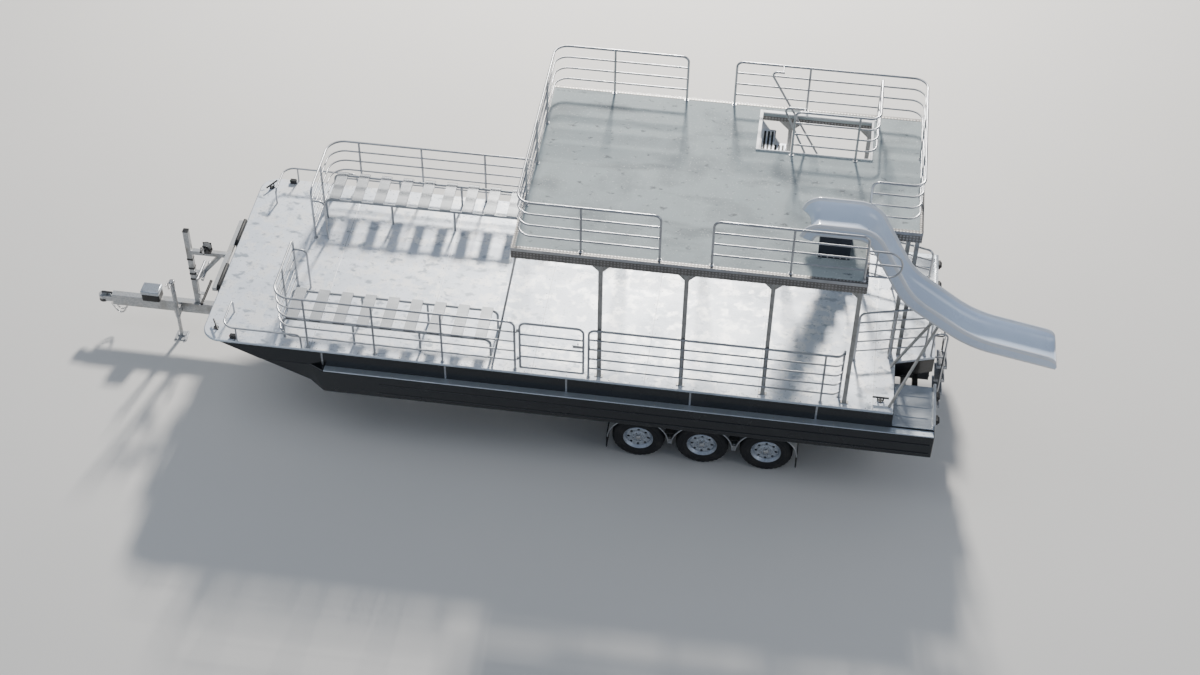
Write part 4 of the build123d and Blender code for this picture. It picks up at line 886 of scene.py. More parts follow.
def trimDeck(parts):
    seams, screws = bmesh.new(), bmesh.new()
    radius, flat = parts["bead"]
    pitch = parts["screwPitch"]
    for station in parts["seams"]:
        made = addRod(seams, (at(station), -parts["half"], 0), (at(station), parts["half"], 0), radius, 10)
        bmesh.ops.scale(seams, vec=(1, 1, flat), verts=made)
        bmesh.ops.translate(seams, vec=(0, 0, deckTop), verts=made)
        lines = [(number - (parts["seamScrews"] - 1) / 2) * pitch for number in range(parts["seamScrews"])]
        addScrews(screws, [Vector((at(station) + way, line, deckTop)) for line in lines
                           for way in (-parts["beside"], parts["beside"])], *parts["screw"])
    for sign in (-1, 1):
        stations = [parts["edgeFirst"] + number * pitch for number in range(parts["edgeScrews"])]
        addScrews(screws, [Vector((at(station), sign * parts["screwLine"], deckTop)) for station in stations],
                  *parts["screw"])
    finishPiece(seams, "deck_seams", "railMetal", angle=60)
    finishPiece(screws, "deck_screws", "darkHardware")


trimDeck(deckTrim)
print("hull and deck trimmed")


# Upper deck: tread-plate edging, angle at the rim, hatch coaming

upperTrim = {
    "corners": ((4.55, -1.79), (9.28, -1.79), (9.28, -0.677), (9.974, -0.677), (9.974, 1.79), (4.55, 1.79)),
    "strip": 0.05, "short": 0.002, "shortOf": 0.001,  # width, short of a corner, short of another strip
    "thick": 0.003, "angle": 0.003, "angleLow": 4.035, "angleOver": 0.004,
    "screwPitch": 0.26, "screwLine": 0.025, "screw": (0.007, 0.0015),
    "hatch": (7.645, 9.215, 0.755, 1.6), "coaming": 0.022, "coamingInner": 0.008,
    "coamingOuter": (0.04, 0.025, 0.05),  # past the front, the back and the outboard edge
}


def boxRound(bm, spots, low, high):  # the upright box round some spots, between two levels
    corners = [[pick(spot[axis] for spot in spots) for axis in range(2)] for pick in (min, max)]
    addBox(bm, (*corners[0], low), (*corners[1], high))


def trimUpperDeck(parts):
    strips, angle, screws = bmesh.new(), bmesh.new(), bmesh.new()
    spots = [Vector((at(station), line, upperTop)) for station, line in parts["corners"]]
    thick = along["z"] * parts["thick"]
    for first, second in zip(spots, spots[1:] + spots[:1]):
        run = (second - first).normalized()
        inward = along["z"].cross(run)
        inner = inward * parts["strip"]
        across = abs(run.y) > 0.5
        short = run * (parts["strip"] + parts["shortOf"] if across else parts["short"])
        boxRound(strips, [first + short, second - short, first + inner + short, second + inner - short],
                 upperTop, upperTop + parts["thick"])
        past = run * (0 if across else parts["angle"])
        outward = inward * parts["angle"]
        boxRound(angle, [first - past - outward, second + past - outward, first, second],
                 parts["angleLow"], upperTop + parts["angleOver"])
        count = int((second - first).length / parts["screwPitch"])
        apart = run * (second - first).length / count
        addScrews(screws, [first + apart * (number + 0.5) + inward * parts["screwLine"] + thick
                           for number in range(count)], *parts["screw"])
    finishPiece(strips, "upper_deck_tread_strips", "plateEdge")
    finishPiece(angle, "upper_deck_edge_angle", "railMetal", bevel=0.001)
    finishPiece(screws, "upper_deck_screws", "darkHardware")
    bm = bmesh.new()
    front, back, near, far = parts["hatch"]
    front, back = at(front), at(back)
    inner = parts["coamingInner"]
    overFront, overBack, overFar = parts["coamingOuter"]
    top = upperTop + parts["coaming"]
    for (x, y), (farX, farY) in (
        ((front - overFront, near - inner), (front + inner, far + overFar)),
        ((back - inner, near - inner), (back + overBack, far + overFar)),
        ((front + inner, near - inner), (back - inner, near + inner)),
        ((front + inner, far - inner), (back - inner, far + overFar)),
    ):
        addBox(bm, (x, y, upperTop), (farX, farY, top))
    finishPiece(bm, "hatch_coaming", "whiteTrim", bevel=0.003)


trimUpperDeck(upperTrim)
print("upper deck trimmed")


# Screws in every rail foot, and collars over the welds

railFeet = {
    "main": (
        (1.12, 0.54), (1.12, 1.145), (1.57, 1.75), (2.54, 1.75), (3.52, 1.75), (4.563, 1.75), (5.607, 1.75),
        (8.87, 1.75), (9.12, 1.6), (9.3, 0.85), (9.795, 0.725), (10.29, 0.6),
    ),
    "upper": (
        (6.53, -1.728), (5.48, -1.728), (4.622, -0.9), (4.622, 0), (4.622, 0.9), (5.48, 1.728),
        (6.53, 1.728), (7.22, -1.728), (8.26, -1.728), (9.22, -1.728), (7.22, 1.728), (8.26, 1.728),
        (9.902, 0.9), (9.902, 0.1), (9.22, -0.62), (8.11, 0.71), (9.0, 0.71),
    ),
    "thick": 0.008, "screwRing": 0.025, "screwTurns": (0.5, 2.6, 4.7), "screw": (0.0035, 0.003),
    "collar": ((0.0165, 0.0), (0.026, 0.0), (0.022, 0.005), (0.0178, 0.012), (0.0165, 0.012)),
}


def ringSpots(centre, radius, turns):
    return [centre + Vector((math.cos(turn), math.sin(turn), 0)) * radius for turn in turns]


def addRailFeet(parts):
    screws, collars = bmesh.new(), bmesh.new()
    feet = [(station, sign * line, deckTop) for station, line in parts["main"] for sign in (-1, 1)]
    feet += [(station, line, upperTop) for station, line in parts["upper"]]
    for station, line, level in feet:
        centre = Vector((at(station), line, level + parts["thick"]))
        spots = ringSpots(centre, parts["screwRing"], parts["screwTurns"])
        addBolts(screws, spots, along["z"], *parts["screw"])
        revolve(collars, parts["collar"], centre, along["z"], 20)
    finishPiece(screws, "rail_foot_screws", "boltSteel")
    finishPiece(collars, "rail_foot_collars", "railMetal", angle=60)


addRailFeet(railFeet)


# Benches: pressed ribs along each slat, end caps; stair and ladder treads: grips and nosings

treads = {
    "benchFirst": 1.25, "benchPitch": 0.34, "benchSlats": 9, "slatWidth": 0.16, "benchTop": 2.16,
    "benchLines": (1.0, 1.607), "benchRibs": 5, "benchRib": (0.006, 0.003),  # half width, height
    "capLines": (1.615, 1.619), "capLevels": (-0.032, 0.002), "capPast": 0.002,
    "stairFirst": 7.665, "stairRun": 0.16375, "stairRise": 0.2343, "stairCount": 9, "stairDepth": 0.19,
    "stairLines": (0.835, 1.52), "grips": (0.22, 0.5, 0.78), "gripHalf": 0.015, "gripInset": 0.03,
    "gripThick": 0.002, "nosing": (0.002, 0.008, 0.009),  # in from the edge, below the top, radius
    "stairBolts": (0.25, 0.75), "boltDown": 0.015, "stairBolt": (0.007, 0.006),
    "stringerLines": ((0.815, -1), (1.54, 1)),
    "ladderStation": 10.58, "ladderPitch": 0.27, "ladderTop": 1.48, "ladderCount": 4, "ladderMid": -0.375,
    "ladderRibs": 9, "ladderRibPitch": 0.015, "ladderRib": (0.004, 0.15, 0.004),  # halves, height
}


def addBenchRibs(parts):
    ribs, caps = bmesh.new(), bmesh.new()
    half, thick = parts["benchRib"]
    top = parts["benchTop"]
    capLow, capHigh = parts["capLevels"]
    for sign in (-1, 1):
        low, high = span(*parts["benchLines"], sign=sign)
        near, far = span(*parts["capLines"], sign=sign)
        for number in range(parts["benchSlats"]):
            front = at(parts["benchFirst"] + number * parts["benchPitch"])
            for rib in range(parts["benchRibs"]):
                line = front + parts["slatWidth"] * (rib + 0.5) / parts["benchRibs"]
                addBox(ribs, (line - half, low, top), (line + half, high, top + thick))
            addBox(caps, (front - parts["capPast"], near, top + capLow),
                   (front + parts["slatWidth"] + parts["capPast"], far, top + capHigh))
    finishPiece(ribs, "bench_ribs", "benchMetal", bevel=0.001)
    finishPiece(caps, "bench_end_caps", "blackPlastic", bevel=0.001)


def addTreadGrips(parts):
    addBenchRibs(parts)
    grips, nosings, bolts, pads = (bmesh.new() for _ in range(4))
    near, far = parts["stairLines"]
    half, inset, depth = parts["gripHalf"], parts["gripInset"], parts["stairDepth"]
    edgeIn, edgeDown, edgeRadius = parts["nosing"]
    boltDown = parts["boltDown"]
    for number in range(parts["stairCount"]):
        front = at(parts["stairFirst"] + number * parts["stairRun"])
        level = upperTop - (number + 1) * parts["stairRise"]
        for share in parts["grips"]:
            line = front + share * depth
            addBox(grips, (line - half, near + inset, level),
                   (line + half, far - inset, level + parts["gripThick"]))
        edge, under = front + depth - edgeIn, level - edgeDown
        addRod(nosings, (edge, near, under), (edge, far, under), edgeRadius, 12)
        for line, way in parts["stringerLines"]:
            spots = [(front + share * depth, line, level - boltDown) for share in parts["stairBolts"]]
            addBolts(bolts, spots, (0, way, 0), *parts["stairBolt"])
    finishPiece(grips, "stair_grips", "blackRubber")
    finishPiece(nosings, "stair_nosings", "railMetal", angle=60)
    finishPiece(bolts, "stair_bolts", "boltSteel")
    half, reach, thick = parts["ladderRib"]
    for number in range(parts["ladderCount"]):
        level = parts["ladderTop"] - number * parts["ladderPitch"]
        for rib in range(parts["ladderRibs"]):
            line = at(parts["ladderStation"]) + (rib - parts["ladderRibs"] // 2) * parts["ladderRibPitch"]
            addBlock(pads, (line, parts["ladderMid"]), (half, reach), level, level + thick)
    finishPiece(pads, "ladder_tread_grips", "blackRubber", "boarding_ladder")


addTreadGrips(treads)
print("rails, benches and treads detailed")


# Gates: slide latches on the gates, and their strikes on the side rails

gateLatch = {
    "station": 5.533, "post": 5.607, "line": 1.75, "level": 2.3,
    "plate": (-0.15, -0.01, 0.013, 0.006, 0.022),  # from, to, inboard, half thickness, half height
    "bolt": (-0.16, 0.02, 0.028, 0.007),  # from, to, inboard, radius
    "handle": (-0.08, 0.04, 0.005), "knob": (0.045, 0.011),  # where, height, radius
    "strike": (-0.02, 0.018, 0.012), "strikeLevels": ((-0.02, -0.012), (0.012, 0.02)),
}


def addGateLatches(parts):
    x, post, level = at(parts["station"]), at(parts["post"]), parts["level"]
    start, end, inboard, half, tall = parts["plate"]
    boltStart, boltEnd, boltInboard, boltRadius = parts["bolt"]
    where, height, thick = parts["handle"]
    knobHeight, knob = parts["knob"]
    front, back, reach = parts["strike"]
    for side, sign in bothSides:
        bm = bmesh.new()
        plate = sign * (parts["line"] - inboard)
        inside = sign * (parts["line"] - boltInboard)
        addBox(bm, (x + start, plate - half, level - tall), (x + end, plate + half, level + tall))
        addRod(bm, (x + boltStart, inside, level), (x + boltEnd, inside, level), boltRadius)
        addRod(bm, (x + where, inside, level), (x + where, inside, level + height), thick)
        addBall(bm, (x + where, inside, level + knobHeight), (knob, knob, knob))
        finishPiece(bm, f"{side}_gate_latch", "boltSteel", f"{side}_gate", bevel=0.001)
        bm = bmesh.new()
        for low, high in parts["strikeLevels"]:
            addBox(bm, (post + front, inside - reach, level + low),
                   (post + back, inside + reach, level + high))
        finishPiece(bm, f"{side}_gate_strike", "boltSteel", bevel=0.001)


addGateLatches(gateLatch)


# Slide fittings: the framed panels and bolts of its pedestal, and the bead of its lower lip

slideFittings = {
    "half": 0.262, "height": 0.347,  # of the pedestal's solid
    "panel": 0.006, "foot": 0.05, "head": 0.04, "stile": 0.045, "flange": (0.045, 0.006),
    "bolts": 5, "boltOut": 0.028, "bolt": (0.008, 0.007),
    "lip": (11.996, 2.494), "lipHalf": 0.29, "roll": 0.013,
}


def addSlideFittings(parts):
    panel, bolts = bmesh.new(), bmesh.new()
    front, back = (round(corner.x, 3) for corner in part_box("slide_base"))
    low, high = upperTop, upperTop + parts["height"]
    foot, head, stile = low + parts["foot"], high - parts["head"], parts["stile"]
    flange, flangeThick = parts["flange"]
    for sign in (-1, 1):
        face = slide["line"] + sign * parts["half"]
        near, far = span(face, face + sign * parts["panel"])
        for bottom, top in ((low, foot), (head, high)):
            addBox(panel, (front, near, bottom), (back, far, top))
        for start in (front, back - stile):
            addBox(panel, (start, near, foot), (start + stile, far, head))
        near, far = span(face, face + sign * flange)
        addBox(panel, (front, near, low), (back, far, low + flangeThick))
        spots = [(front + (back - front) * (number + 0.5) / parts["bolts"],
                  face + sign * parts["boltOut"], low + flangeThick) for number in range(parts["bolts"])]
        addBolts(bolts, spots, along["z"], *parts["bolt"])
    # the panels share the base's near-black navy, which is painted shade
    finishPiece(panel, "slide_base_panels", "pedestal", bevel=0.002)
    finishPiece(bolts, "slide_base_bolts", "boltSteel")
    bm = bmesh.new()
    station, level = parts["lip"]
    lip = Vector((at(station), slide["line"], level))
    reach = along["y"] * parts["lipHalf"]
    addRod(bm, lip - reach, lip + reach, parts["roll"], 16)
    finishPiece(bm, "slide_lip_bead", "slideRim", angle=60)


addSlideFittings(slideFittings)


# Cleats, lamps and bumpers on the deck

deckFittings = {
    "cleats": ((0.17, 1.57), (9.7, 1.6)), "cleatPad": 0.01, "cleatRing": 0.028,
    "cleatTurns": (0.8, 2.35, 3.9, 5.5), "cleatScrew": (0.004, 0.003),
    "lamp": (0.47, 1.745), "lampHalf": 0.05, "lampLines": (-0.045, 0.02), "lampHeight": 0.06,
    "lens": (-0.012, 0.032), "lensRadii": (0.012, 0.02, 0.018),
    "lenses": {"port": "redLens", "starboard": "greenLens"},
    "bumperStation": 10.5, "bumpers": (-1.16, -1.62, 1.16, 1.62),
    "bumperPad": (0.0175, 0.06, 1.455, 1.54),  # halves, foot, head
    "bumperRoll": (0.03, 0.05, 1.5, 0.028),  # aft, half length, level, radius
}


def addDeckFittings(parts):
    bolts, lamps, bumpers = (bmesh.new() for _ in range(3))
    for station, line in parts["cleats"]:
        for side, sign in bothSides:
            centre = Vector((at(station), sign * line, deckTop + parts["cleatPad"]))
            spots = ringSpots(centre, parts["cleatRing"], parts["cleatTurns"])
            addBolts(bolts, spots, along["z"], *parts["cleatScrew"])
    station, line = parts["lamp"]
    front, back = at(station) - parts["lampHalf"], at(station) + parts["lampHalf"]
    lensOut, lensUp = parts["lens"]
    for side, sign in bothSides:
        low, high = span(*(line + out for out in parts["lampLines"]), sign=sign)
        addBox(lamps, (front, low, deckTop), (back, high, deckTop + parts["lampHeight"]))
        lens = bmesh.new()
        addBall(lens, (front, sign * (line + lensOut), deckTop + lensUp), parts["lensRadii"], 8)
        finishPiece(lens, f"{side}_bow_lens", parts["lenses"][side], angle=60)
    x = at(parts["bumperStation"])
    pad, wide, low, high = parts["bumperPad"]
    out, half, level, radius = parts["bumperRoll"]
    for line in parts["bumpers"]:
        addBlock(bumpers, (x + pad, line), (pad, wide), low, high)
        addRod(bumpers, (x + out, line - half, level), (x + out, line + half, level), radius, 16)
    finishPiece(bolts, "cleat_screws", "boltSteel")
    finishPiece(lamps, "bow_lamps", "blackPlastic", bevel=0.008)
    finishPiece(bumpers, "stern_bumpers", "blackRubber", bevel=0.006)


addDeckFittings(deckFittings)
print("deck fittings made")


# Trailer: fender edges and steps, mud flaps, side markers

trailerTrim = {
    "fender": 0.448, "lines": (1.345, 1.625), "edge": 0.011, "edgeClear": 0.02,
    "flaps": (5.872, 8.648), "flapLevels": (0.17, 0.44), "flapHalf": 0.006,  # half thickness
    "flapRibs": 7, "flapRibHalf": (0.011, 0.008), "flapRibLevels": (0.18, 0.41),
    "steps": (6.7975, 7.7325), "stepLevel": 0.6, "stepHalf": 0.08, "stepInset": 0.012, "stepThick": 0.004,
    "markers": (3.0, 4.7, 9.3), "markerRadii": (0.05, 0.012, 0.022), "frameLine": 1.14, "frameLevel": 0.565,
}


def trimTrailer(parts):
    edges, flaps, plates, markers = (bmesh.new() for _ in range(4))
    start = math.asin(parts["edgeClear"] / parts["fender"])
    foot, head = parts["flapLevels"]
    ribFoot, ribHead = parts["flapRibLevels"]
    half, inset, level = parts["stepHalf"], parts["stepInset"], parts["stepLevel"]
    for sign in (-1, 1):
        for station in wheel["stations"].values():
            centre = Vector((at(station), sign * parts["lines"][1], wheel["height"]))
            circle = bmesh.ops.create_circle(edges, cap_ends=True, segments=10, radius=parts["edge"])["verts"]
            turned = Matrix.Rotation(-start, 4, "Y") @ Matrix.Translation((parts["fender"], 0, 0))
            bmesh.ops.transform(edges, matrix=Matrix.Translation(centre) @ turned, verts=circle)
            face = circle[0].link_faces[0]
            bmesh.ops.spin(edges, geom=[face], cent=centre, axis=(0, -1, 0), dvec=(0, 0, 0),
                           angle=math.pi - 2 * start, steps=40)
        low, high = span(*parts["lines"], sign=sign)
        for x in map(at, parts["flaps"]):
            addBox(flaps, (x - parts["flapHalf"], low, foot), (x + parts["flapHalf"], high, head))
            for rib in range(parts["flapRibs"]):
                line = low + (rib + 0.5) * (high - low) / parts["flapRibs"]
                addBlock(flaps, (x, line), parts["flapRibHalf"], ribFoot, ribHead)
        for x in map(at, parts["steps"]):
            addBox(plates, (x - half, low + inset, level),
                   (x + half, high - inset, level + parts["stepThick"]))
        for station in parts["markers"]:
            spot = Vector((at(station), sign * parts["frameLine"], parts["frameLevel"]))
            addBall(markers, spot, parts["markerRadii"], 8)
    bmesh.ops.recalc_face_normals(edges, faces=edges.faces)
    finishPiece(edges, "fender_edges", "railMetal", angle=60)
    finishPiece(flaps, "mud_flaps", "blackRubber", bevel=0.002)
    finishPiece(plates, "fender_steps", "plateEdge", bevel=0.001)
    finishPiece(markers, "side_markers", "amberLens", angle=60)


trimTrailer(trailerTrim)


# Springs and brakes: leaves, clamp plates, U-bolts, shackles and drums

springs = {
    "line": 1.1, "base": 0.426, "reach": 0.4, "leaves": 4,
    "leafPitch": 0.0088, "leafHalf": 0.031, "leafLevels": (0.0006, 0.0078),
    "shorter": (0.96, 0.16),  # the lowest leaf's share of the reach, less for each one above
    "uBolt": (0.055, 0.038, 0.335, 0.485, 0.0065),  # fore and aft, to each side, foot, head, radius
    "uBoltTop": 0.482, "clamp": (0.075, 0.046, 0.34, 0.35), "nut": (0.01, 0.009),  # halves, foot, head
    "hangers": (5.8625, 6.7975, 7.7325, 8.6675), "pin": (0.013, 0.012),
    "hangerPins": (0.05, 0.03, 0.445),  # fore and aft, to each side, level
    "drum": (  # radius, distance in from the wheel's outer face
        (0.064, 0.075), (0.132, 0.075), (0.142, 0.085), (0.142, 0.24), (0.148, 0.245), (0.148, 0.27),
        (0.132, 0.27), (0.13, 0.095), (0.064, 0.087),
    ),
}


def addSprings(parts):
    clamps, bolts = bmesh.new(), bmesh.new()
    fore, across, foot, head, radius = parts["uBolt"]
    long, wide, low, high = parts["clamp"]
    full, less = parts["shorter"]
    leafLow, leafHigh = parts["leafLevels"]
    pinAlong, pinOut, pinLevel = parts["hangerPins"]
    for sign in (-1, 1):
        line = sign * parts["line"]
        for x in map(at, wheel["stations"].values()):
            for way in (-fore, fore):
                for edge in (-across, across):
                    addRod(bolts, (x + way, line + edge, foot), (x + way, line + edge, head), radius, 10)
                top = parts["uBoltTop"]
                addRod(bolts, (x + way, line - across, top), (x + way, line + across, top), radius, 10)
            addBlock(clamps, (x, line), (long, wide), low, high)
            for way in (-fore, fore):
                spots = [(x + way, line + edge, low) for edge in (-across, across)]
                addBolts(bolts, spots, (0, 0, -1), *parts["nut"])
            for leaf in range(parts["leaves"]):
                reach = parts["reach"] * (full - less * leaf)
                base = parts["base"] + leaf * parts["leafPitch"]
                addBlock(clamps, (x, line), (reach, parts["leafHalf"]), base + leafLow, base + leafHigh)
        for x in map(at, parts["hangers"]):
            for way in (-pinAlong, pinAlong):
                for face in (-1, 1):
                    spots = [(x + way, line + face * pinOut, pinLevel)]
                    addBolts(bolts, spots, (0, face, 0), *parts["pin"])
    finishPiece(clamps, "spring_leaves", "darkHardware", bevel=0.001)
    finishPiece(bolts, "spring_bolts", "boltSteel")


def addDrums(parts):
    for place, station in wheel["stations"].items():
        for side, sign in bothSides:
            bm = bmesh.new()
            revolve(bm, parts["drum"], *wheelPlace(station, sign), 40)
            finishPiece(bm, f"{place}_{side}_brake_drum", "darkHardware", f"{place}_{side}_wheel")


addSprings(springs)
addDrums(springs)
print("running gear made")


# Head of the trailer: winch, climbing steps, brake box lid, jack and coupler fittings

winch = {
    "station": -0.42, "level": 1.81, "bore": 0.012, "drum": 0.03, "flange": 0.068, "half": 0.052,
    "flangeThick": (0.005, 0.007), "wound": (0.0655, 0.043, 0.002, 0.03),  # radius, half width, edge, flat
    "cheek": (0.062, 0.003), "cheekCorners": ((-0.075, -0.075), (0.06, 0.045)),  # line, half thickness
    "base": ((-0.075, -0.065, -0.075), (0.075, 0.065, -0.069)),
    "gear": ((0.014, 0.068), (0.052, 0.068), (0.052, 0.078), (0.014, 0.078)),
    "shaft": (-0.16, 0.075, 0.012), "crank": ((-0.014, -0.16, -0.018), (0.014, -0.152, 0.14)),
    "pin": ((0, -0.155, 0.125), (0, -0.19, 0.125), 0.006), "grip": (0, -0.165, 0.125),
    "gripProfile": (
        (0.0065, 0.0), (0.014, 0.002), (0.016, 0.02), (0.017, 0.06), (0.015, 0.09), (0.0065, 0.094),
    ),
}


def makeWinch(parts):
    centre = Vector((at(parts["station"]), 0, parts["level"]))
    half, flange, bore, drum = (parts[key] for key in ("half", "flange", "bore", "drum"))
    edge, root = parts["flangeThick"]

    def boxAt(bm, low, high):
        addBox(bm, centre + Vector(low), centre + Vector(high))

    bm = bmesh.new()
    profile = [(bore, half), (flange, half), (flange, half - edge), (drum, half - root)]
    revolve(bm, mirrored(profile), centre, along["y"], 40)
    line, thick = parts["cheek"]
    (back, foot), (front, head) = parts["cheekCorners"]
    for sign in (-1, 1):
        boxAt(bm, (back, sign * line - thick, foot), (front, sign * line + thick, head))
    boxAt(bm, *parts["base"])
    revolve(bm, parts["gear"], centre, -along["y"], 36)
    near, far, radius = parts["shaft"]
    addRod(bm, centre + along["y"] * near, centre + along["y"] * far, radius, 20)
    finishPiece(bm, "winch_frame", "darkHardware", bevel=0.001, stands=("winch",))
    bm = bmesh.new()
    wound, wide, edge, flat = parts["wound"]
    profile = [(drum, wide), (wound - edge, wide), (wound, flat)]
    revolve(bm, mirrored(profile), centre, along["y"], 40)
    finishPiece(bm, "winch_strap", "webbing", angle=60)
    bm = bmesh.new()
    boxAt(bm, *parts["crank"])
    start, end, radius = parts["pin"]
    addRod(bm, centre + Vector(start), centre + Vector(end), radius, 12)
    finishPiece(bm, "winch_crank", "boltSteel", bevel=0.002)
    bm = bmesh.new()
    revolve(bm, parts["gripProfile"], centre + Vector(parts["grip"]), -along["y"], 24)
    finishPiece(bm, "winch_handle", "blackPlastic", angle=60)


makeWinch(winch)

headFittings = {
    "steps": (  # station, level, half length, finish
        (-0.57, 1.32, 0.2, "railMetal"), (-0.49, 1.32, 0.2, "railMetal"), (-0.55, 0.86, 0.26, "blackRubber"),
    ),
    "stepRadius": 0.021, "stepCap": (0.023, 0.004),  # radius, length
    "brackets": ((-0.48, 1.32), (-0.54, 0.86)),  # station of the end, level
    "bracketHalf": 0.03, "bracketLevels": (-0.03, -0.018, -0.1), "bracketPlate": (0.004, 0.006),  # in, out
    "bands": (1.155, 1.265, 1.375, 1.56), "bandHalf": 0.016, "bandThick": 0.006,
    "post": (-0.7, 0.04), "postCap": (0.004, 2.106, 2.118),  # station, half width; past it, foot, head
    "pads": (0.24, 0.76), "padInset": 0.02,
    "padPlate": ((-0.064, 1.66), (-0.056, 1.74)),
    "box": (-1.57, -1.29, 0.105, 0.835), "lid": (0.006, 0.07, 0.004),  # past the box, down, up
    "lidBolts": ((-1.53, -1.33), 0.07), "lidBolt": (0.009, 0.006),
}
jackFittings = {
    "place": (-1.01, -0.15, 1.17), "gearbox": (0.012, 0.044, 0.036),  # height, foot and head radius
    "crank": ((-0.012, -0.16, -0.02), (0.012, -0.148, 0.13)),
    "grip": (-0.154, -0.25, 0.12, 0.011), "hub": (-0.14, -0.155, -0.015, 0.014),  # from, to, up, radius
    "bracketBolts": (0.03, 0.036, (0.5, 0.6)), "bracketBolt": (0.012, 0.01),  # apart, out, levels
    "footBars": (0.07, 0.012, 0.095, 0.012, 0.03),  # apart, half width, reach, levels
    "rings": (0.46, 0.66, 0.98), "ring": (0.036, 0.006),
}
couplerFittings = {
    "place": (-2.23, 0.54), "lever": ((-0.02, -0.016, 0.095), (0.15, 0.016, 0.108)),
    "catch": ((0.13, -0.016, 0.06), (0.146, 0.016, 0.1)), "pin": (0.07, 0.03, 0.075, 0.008),
    "collar": ((0.0665, -0.03), (0.0745, -0.03), (0.0745, -0.012), (0.0705, -0.008), (0.0705, 0.03),
               (0.0665, 0.03)),
    "collarDown": 0.02,
}


def addPostFittings(parts):
    post, side = parts["post"]
    post = at(post)
    radius = parts["stepRadius"]
    capRadius, cap = parts["stepCap"]
    for number, (station, level, half, finish) in enumerate(parts["steps"]):
        bm = bmesh.new()
        x = at(station)
        addRod(bm, (x, -half, level), (x, half, level), radius, 20)
        for sign in (-1, 1):
            addRod(bm, (x, sign * half, level), (x, sign * (half + cap), level), capRadius, 20)
        finishPiece(bm, f"climbing_step_{number + 1}", finish, angle=60)
    bm = bmesh.new()
    half = parts["bracketHalf"]
    under, top, foot = parts["bracketLevels"]
    near, far = parts["bracketPlate"]
    near, far = post + side - near, post + side + far
    for back, level in parts["brackets"]:
        addBox(bm, (near, -half, level + under), (at(back), half, level + top))
        addBox(bm, (near, -half, level + foot), (far, half, level + top))
    finishPiece(bm, "step_brackets", "galvanised", bevel=0.002)
    bm = bmesh.new()
    out, tall = side + parts["bandThick"], parts["bandHalf"]
    for level in parts["bands"]:
        addBlock(bm, (post, 0), (out, out), level - tall, level + tall)
    past, foot, head = parts["postCap"]
    addBlock(bm, (post, 0), (side + past, side + past), foot, head)
    near, far = parts["pads"]
    (front, foot), (back, head) = parts["padPlate"]
    for sign in (-1, 1):
        low, high = span(near + parts["padInset"], far - parts["padInset"], sign=sign)
        addBox(bm, (at(front), low, foot), (at(back), high, head))
    finishPiece(bm, "post_bands", "blackPlastic", bevel=0.003)


def addBoxLid(parts):
    front, back, half, top = parts["box"]
    past, down, up = parts["lid"]
    bm = bmesh.new()
    addBox(bm, (at(front) - past, -half - past, top - down), (at(back) + past, half + past, top + up))
    finishPiece(bm, "brake_box_lid", "wheelZinc", bevel=0.016)


def addHeadBolts(parts, jack):
    bolts = bmesh.new()
    stations, line = parts["lidBolts"]
    top = parts["box"][3] + parts["lid"][2]
    spots = [(at(station), sign * line, top) for station in stations for sign in (-1, 1)]
    addBolts(bolts, spots, along["z"], *parts["lidBolt"])
    station, line, level = jack["place"]
    x = at(station)
    near, far, up, radius = jack["hub"]
    addRod(bolts, (x, line + near, level + up), (x, line + far, level + up), radius, 12)
    apart, out, heights = jack["bracketBolts"]
    spots = [(x + way, line + out, height) for way in (-apart, apart) for height in heights]
    addBolts(bolts, spots, along["y"], *jack["bracketBolt"])
    finishPiece(bolts, "head_bolts", "boltSteel")


def addJackFittings(parts):
    station, line, level = parts["place"]
    top = Vector((at(station), line, level))
    height, radius, tip = parts["gearbox"]
    bm = bmesh.new()
    addRod(bm, top, top + along["z"] * height, radius, 28, tip)
    low, high = parts["crank"]
    addBox(bm, top + Vector(low), top + Vector(high))
    near, far, up, radius = parts["grip"]
    addRod(bm, top + Vector((0, near, up)), top + Vector((0, far, up)), radius, 16)
    finishPiece(bm, "jack_crank", "boltSteel", bevel=0.002)
    bm = bmesh.new()
    apart, half, reach, foot, head = parts["footBars"]
    x = top.x
    for way in (-apart, apart):
        addBlock(bm, (x + way, line), (half, reach), foot, head)
    addBlock(bm, (x, line), (apart, half), foot, head)
    for height in parts["rings"]:
        addRing(bm, (x, line, height), along["z"], *parts["ring"])
    finishPiece(bm, "jack_foot_ribs", "galvanised", bevel=0.001)


def addCouplerFittings(parts):
    station, height = parts["place"]
    ball = Vector((at(station), 0, height))
    bm = bmesh.new()
    for low, high in (parts["lever"], parts["catch"]):
        addBox(bm, ball + Vector(low), ball + Vector(high))
    back, half, up, radius = parts["pin"]
    addRod(bm, ball + Vector((back, -half, up)), ball + Vector((back, half, up)), radius, 12)
    revolve(bm, parts["collar"], ball - along["z"] * parts["collarDown"], along["z"], 36)
    finishPiece(bm, "coupler_latch", "darkHardware", bevel=0.002)


addPostFittings(headFittings)
addBoxLid(headFittings)
addHeadBolts(headFittings, jackFittings)
addJackFittings(jackFittings)
addCouplerFittings(couplerFittings)

chain = {
    "start": (-1.98, 0.026, 0.437), "out": 0.012, "reach": 0.24, "sag": 0.16,
    "links": 15, "size": 0.011, "wire": 0.0045, "stretch": 1.75,
}


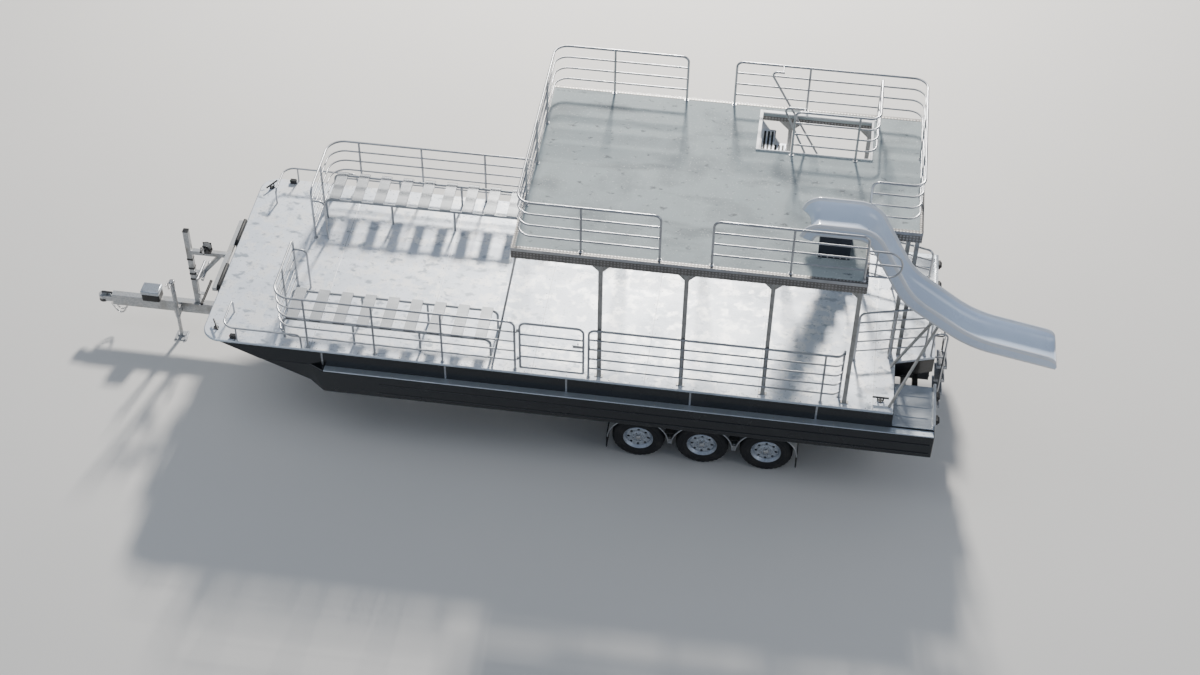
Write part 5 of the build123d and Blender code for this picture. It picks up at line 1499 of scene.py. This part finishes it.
def addSafetyChains(parts):
    station, line, level = parts["start"]
    for side, sign in bothSides:
        bm = bmesh.new()
        for number in range(parts["links"]):
            share = number / (parts["links"] - 1)
            middle = Vector((at(station) + parts["reach"] * (share - 0.5), sign * (line + parts["out"]),
                             level - parts["sag"] * 4 * share * (1 - share)))
            slope = Vector((parts["reach"], 0, -parts["sag"] * 4 * (1 - 2 * share))).normalized()
            made = addRing(bm, (0, 0, 0), (0, 0, 1), parts["size"], parts["wire"], 12, 6)
            bmesh.ops.scale(bm, vec=(parts["stretch"], 1, 1), verts=made)
            lean = slope.to_track_quat("X", "Z").to_matrix().to_4x4()
            turn = Matrix.Rotation(math.pi / 2 * (number % 2), 4, "X")
            bmesh.ops.transform(bm, matrix=Matrix.Translation(middle) @ lean @ turn, verts=made)
        finishPiece(bm, f"{side}_safety_chain", "boltSteel", angle=60)


addSafetyChains(chain)
print("trailer head fitted")


# Lamps at the tail, and the bolts of the motor pod

tail = {
    "station": 10.21, "line": 1.205, "half": (0.11, 0.036), "level": 0.6925,  # half width and height
    "lens": 0.014, "redTo": 0.35, "amberFrom": 0.4, "rim": (0.01, 0.008, 0.005),  # out, past, thick
    "podStation": 10.45, "podBolts": ((0.27, 1.62), (0.27, 1.3), (0.27, 1.0)), "podBolt": (0.014, 0.011),
}


def addTailFittings(parts):
    lenses, ambers, rims, bolts = (bmesh.new() for _ in range(4))
    x = at(parts["station"])
    wide, tall = parts["half"]
    foot, head = parts["level"] - tall, parts["level"] + tall
    out, past, thick = parts["rim"]
    for sign in (-1, 1):
        middle = sign * parts["line"]
        low, high = middle - wide, middle + wide
        addBox(lenses, (x, low, foot), (x + parts["lens"], middle + wide * parts["redTo"], head))
        addBox(ambers, (x, middle + wide * parts["amberFrom"], foot), (x + parts["lens"], high, head))
        for under, over in ((foot - thick, foot), (head, head + thick)):
            addBox(rims, (x, low - past, under), (x + out, high + past, over))
    podFace = at(parts["podStation"])
    pod = [(podFace, sign * line, level) for line, level in parts["podBolts"] for sign in (-1, 1)]
    addBolts(bolts, pod, along["x"], *parts["podBolt"])
    finishPiece(lenses, "tail_lenses", "redLens", bevel=0.004)
    finishPiece(ambers, "turn_lenses", "amberLens", bevel=0.004)
    finishPiece(rims, "tail_lamp_rims", "railMetal", bevel=0.001)
    finishPiece(bolts, "motor_pod_bolts", "boltSteel")


addTailFittings(tail)
print("tail fitted")


# Studio: pale floor, high soft key from the far side, broad fill

studio = {
    "floorSize": 260, "floorColour": (0.72, 0.7, 0.67),
    "lights": (
        # place, aim, size, watts, colour
        ((0.0, 24.0, 17.0), (0.0, 0.0, 1.5), 2.6, 17000, (1.0, 0.965, 0.91)),
        ((-10.0, -4.0, 22.0), (0.0, 0.0, 1.5), 16.0, 1100, (0.9, 0.95, 1.0)),
        ((16.0, -6.0, 10.0), (3.0, 0.0, 2.0), 8.0, 450, (0.95, 0.97, 1.0)),
    ),
    "sky": (0.66, 0.78, 0.98), "skyStrength": 0.34,
}


def makeStudio(parts):
    bm = bmesh.new()
    bmesh.ops.create_grid(bm, x_segments=1, y_segments=1, size=parts["floorSize"] / 2)
    floor = newObject("studioFloor", meshFrom(bm, "studioFloor"))
    paper = makeFinish(
        "paperFloor", parts["floorColour"], 0.85,
        layers=(mottled(0.4, 3, 0.3, 0.8, (0.7, 0.685, 0.655), 0.9),),
    )
    floor.data.materials.append(paper)
    for number, (place, aim, size, watts, colour) in enumerate(parts["lights"]):
        lamp = bpy.data.lights.new(f"softbox_{number + 1}", "AREA")
        lamp.size = size
        lamp.energy = watts
        lamp.color = colour
        holder = newObject(lamp.name, lamp)
        aimed = turnTo(Vector(place) - Vector(aim))
        aimed.translation = place
        holder.matrix_world = aimed
    world = bpy.data.worlds.new("studioSky")
    bpy.context.scene.world = world
    world.use_nodes = True
    background = world.node_tree.nodes["Background"]
    background.inputs[0].default_value = (*parts["sky"], 1)
    background.inputs[1].default_value = parts["skyStrength"]


makeStudio(studio)
print("studio set")
